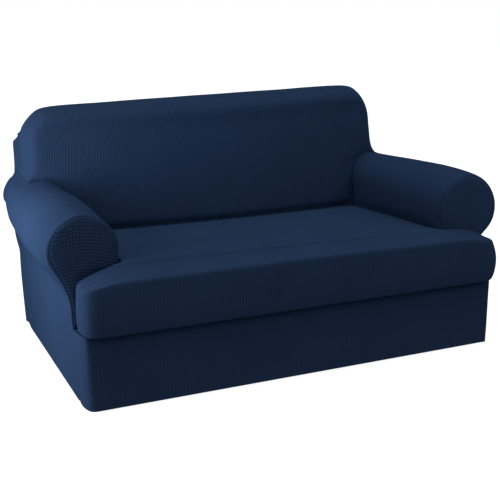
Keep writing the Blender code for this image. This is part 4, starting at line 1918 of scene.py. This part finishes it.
@dataclass(frozen=True)
class Studio:
    """Camera, floor and light."""

    eye: Point = (-1.2766, -2.9521, 1.0839)
    bearing: float = 0.4133
    elevation: float = 0.2340
    roll: float = -0.0157
    focal_pixels: float = 893.5
    picture_pixels: float = 500.0
    sensor_width: float = 36.0
    floor_reach: float = 40.0
    floor_z: float = -0.001
    lights: tuple["SoftSun | SoftBox", ...] = (
        SoftSun("overhead", 0.0, 90.0, 0.36),
        SoftSun("right_top", -60.0, 50.0, 0.17),
        SoftBox("near_left", (-1.5, -0.10, 0.6), (-0.5, 0.0, 0.4), 17.0, 1.0),
    )
    surround: float = 0.29

    def build(self) -> None:
        """Make everything that is round the covers."""
        self.add_camera()
        self.add_floor()
        self.add_world()
        for light in self.lights:
            light.build()
        bpy.context.scene.view_settings.view_transform = "Standard"
        LOG.info("studio: camera, floor and %d lights", len(self.lights))

    def add_camera(self) -> None:
        """Add the camera, from the angle of the photograph."""
        back = from_front(self.bearing, self.elevation)
        right = (-back).cross(Vector((0.0, 0.0, 1.0))).normalized()
        up = right.cross(-back)
        turn, lift = math.cos(self.roll), math.sin(self.roll)
        axes = Matrix((right * turn + up * lift, up * turn - right * lift, back)).transposed()
        data = bpy.data.cameras.new("camera")
        data.sensor_width = self.sensor_width
        data.lens = self.focal_pixels / self.picture_pixels * self.sensor_width
        camera = add_object("camera", data)
        camera.matrix_world = Matrix.Translation(self.eye) @ axes.to_4x4()
        bpy.context.scene.camera = camera

    def add_floor(self) -> None:
        """Add the floor, a little under the hem, pale enough to pass into the surround."""
        reach = self.floor_reach
        plan = ((-reach, -reach), (reach, -reach), (reach, reach), (-reach, reach))
        mesh = bpy.data.meshes.new("floor")
        mesh.from_pydata([(x, y, self.floor_z) for x, y in plan], [], [(0, 1, 2, 3)])
        mesh.materials.append(FLOOR.build())
        floor = add_object("floor", mesh)
        # The floor shows, but throws no light back up at the covers.
        floor.visible_diffuse = False

    def add_world(self) -> None:
        """Add a pale surround that lights the covers less than it shows."""
        world = bpy.data.worlds.new("surround")
        world.use_nodes = True
        nodes = NodeBuilder(world.node_tree)
        ray = nodes.node("ShaderNodeLightPath")
        strength = nodes.signal(ray, "Is Camera Ray") * (1.0 - self.surround) + self.surround
        surround = world.node_tree.nodes["Background"]
        surround.inputs["Color"].default_value = (1.0, 1.0, 1.0, 1.0)
        world.node_tree.links.new(strength.socket, surround.inputs["Strength"])
        bpy.context.scene.world = world


def main() -> None:
    """Build both covers, dress their panels and set the studio."""
    logging.basicConfig(level=logging.INFO, format="%(name)s: %(message)s")
    materials = {knit.name: knit.build() for knit in KNITS}
    body = BodyCover()
    smoother = Smoother()
    cutters = [
        PanelCutter(body.surface(smoother)),
        PanelCutter(CushionCover(body).surface(smoother)),
    ]
    dresser = Dresser(materials, THREAD.build())
    for cut in PANEL_CUTS:
        cutter = next(c for c in cutters if cut.panel in c.surface.panel_order)
        dresser.dress(cutter, cut)
    Studio().build()


if __name__ == "__main__":
    main()
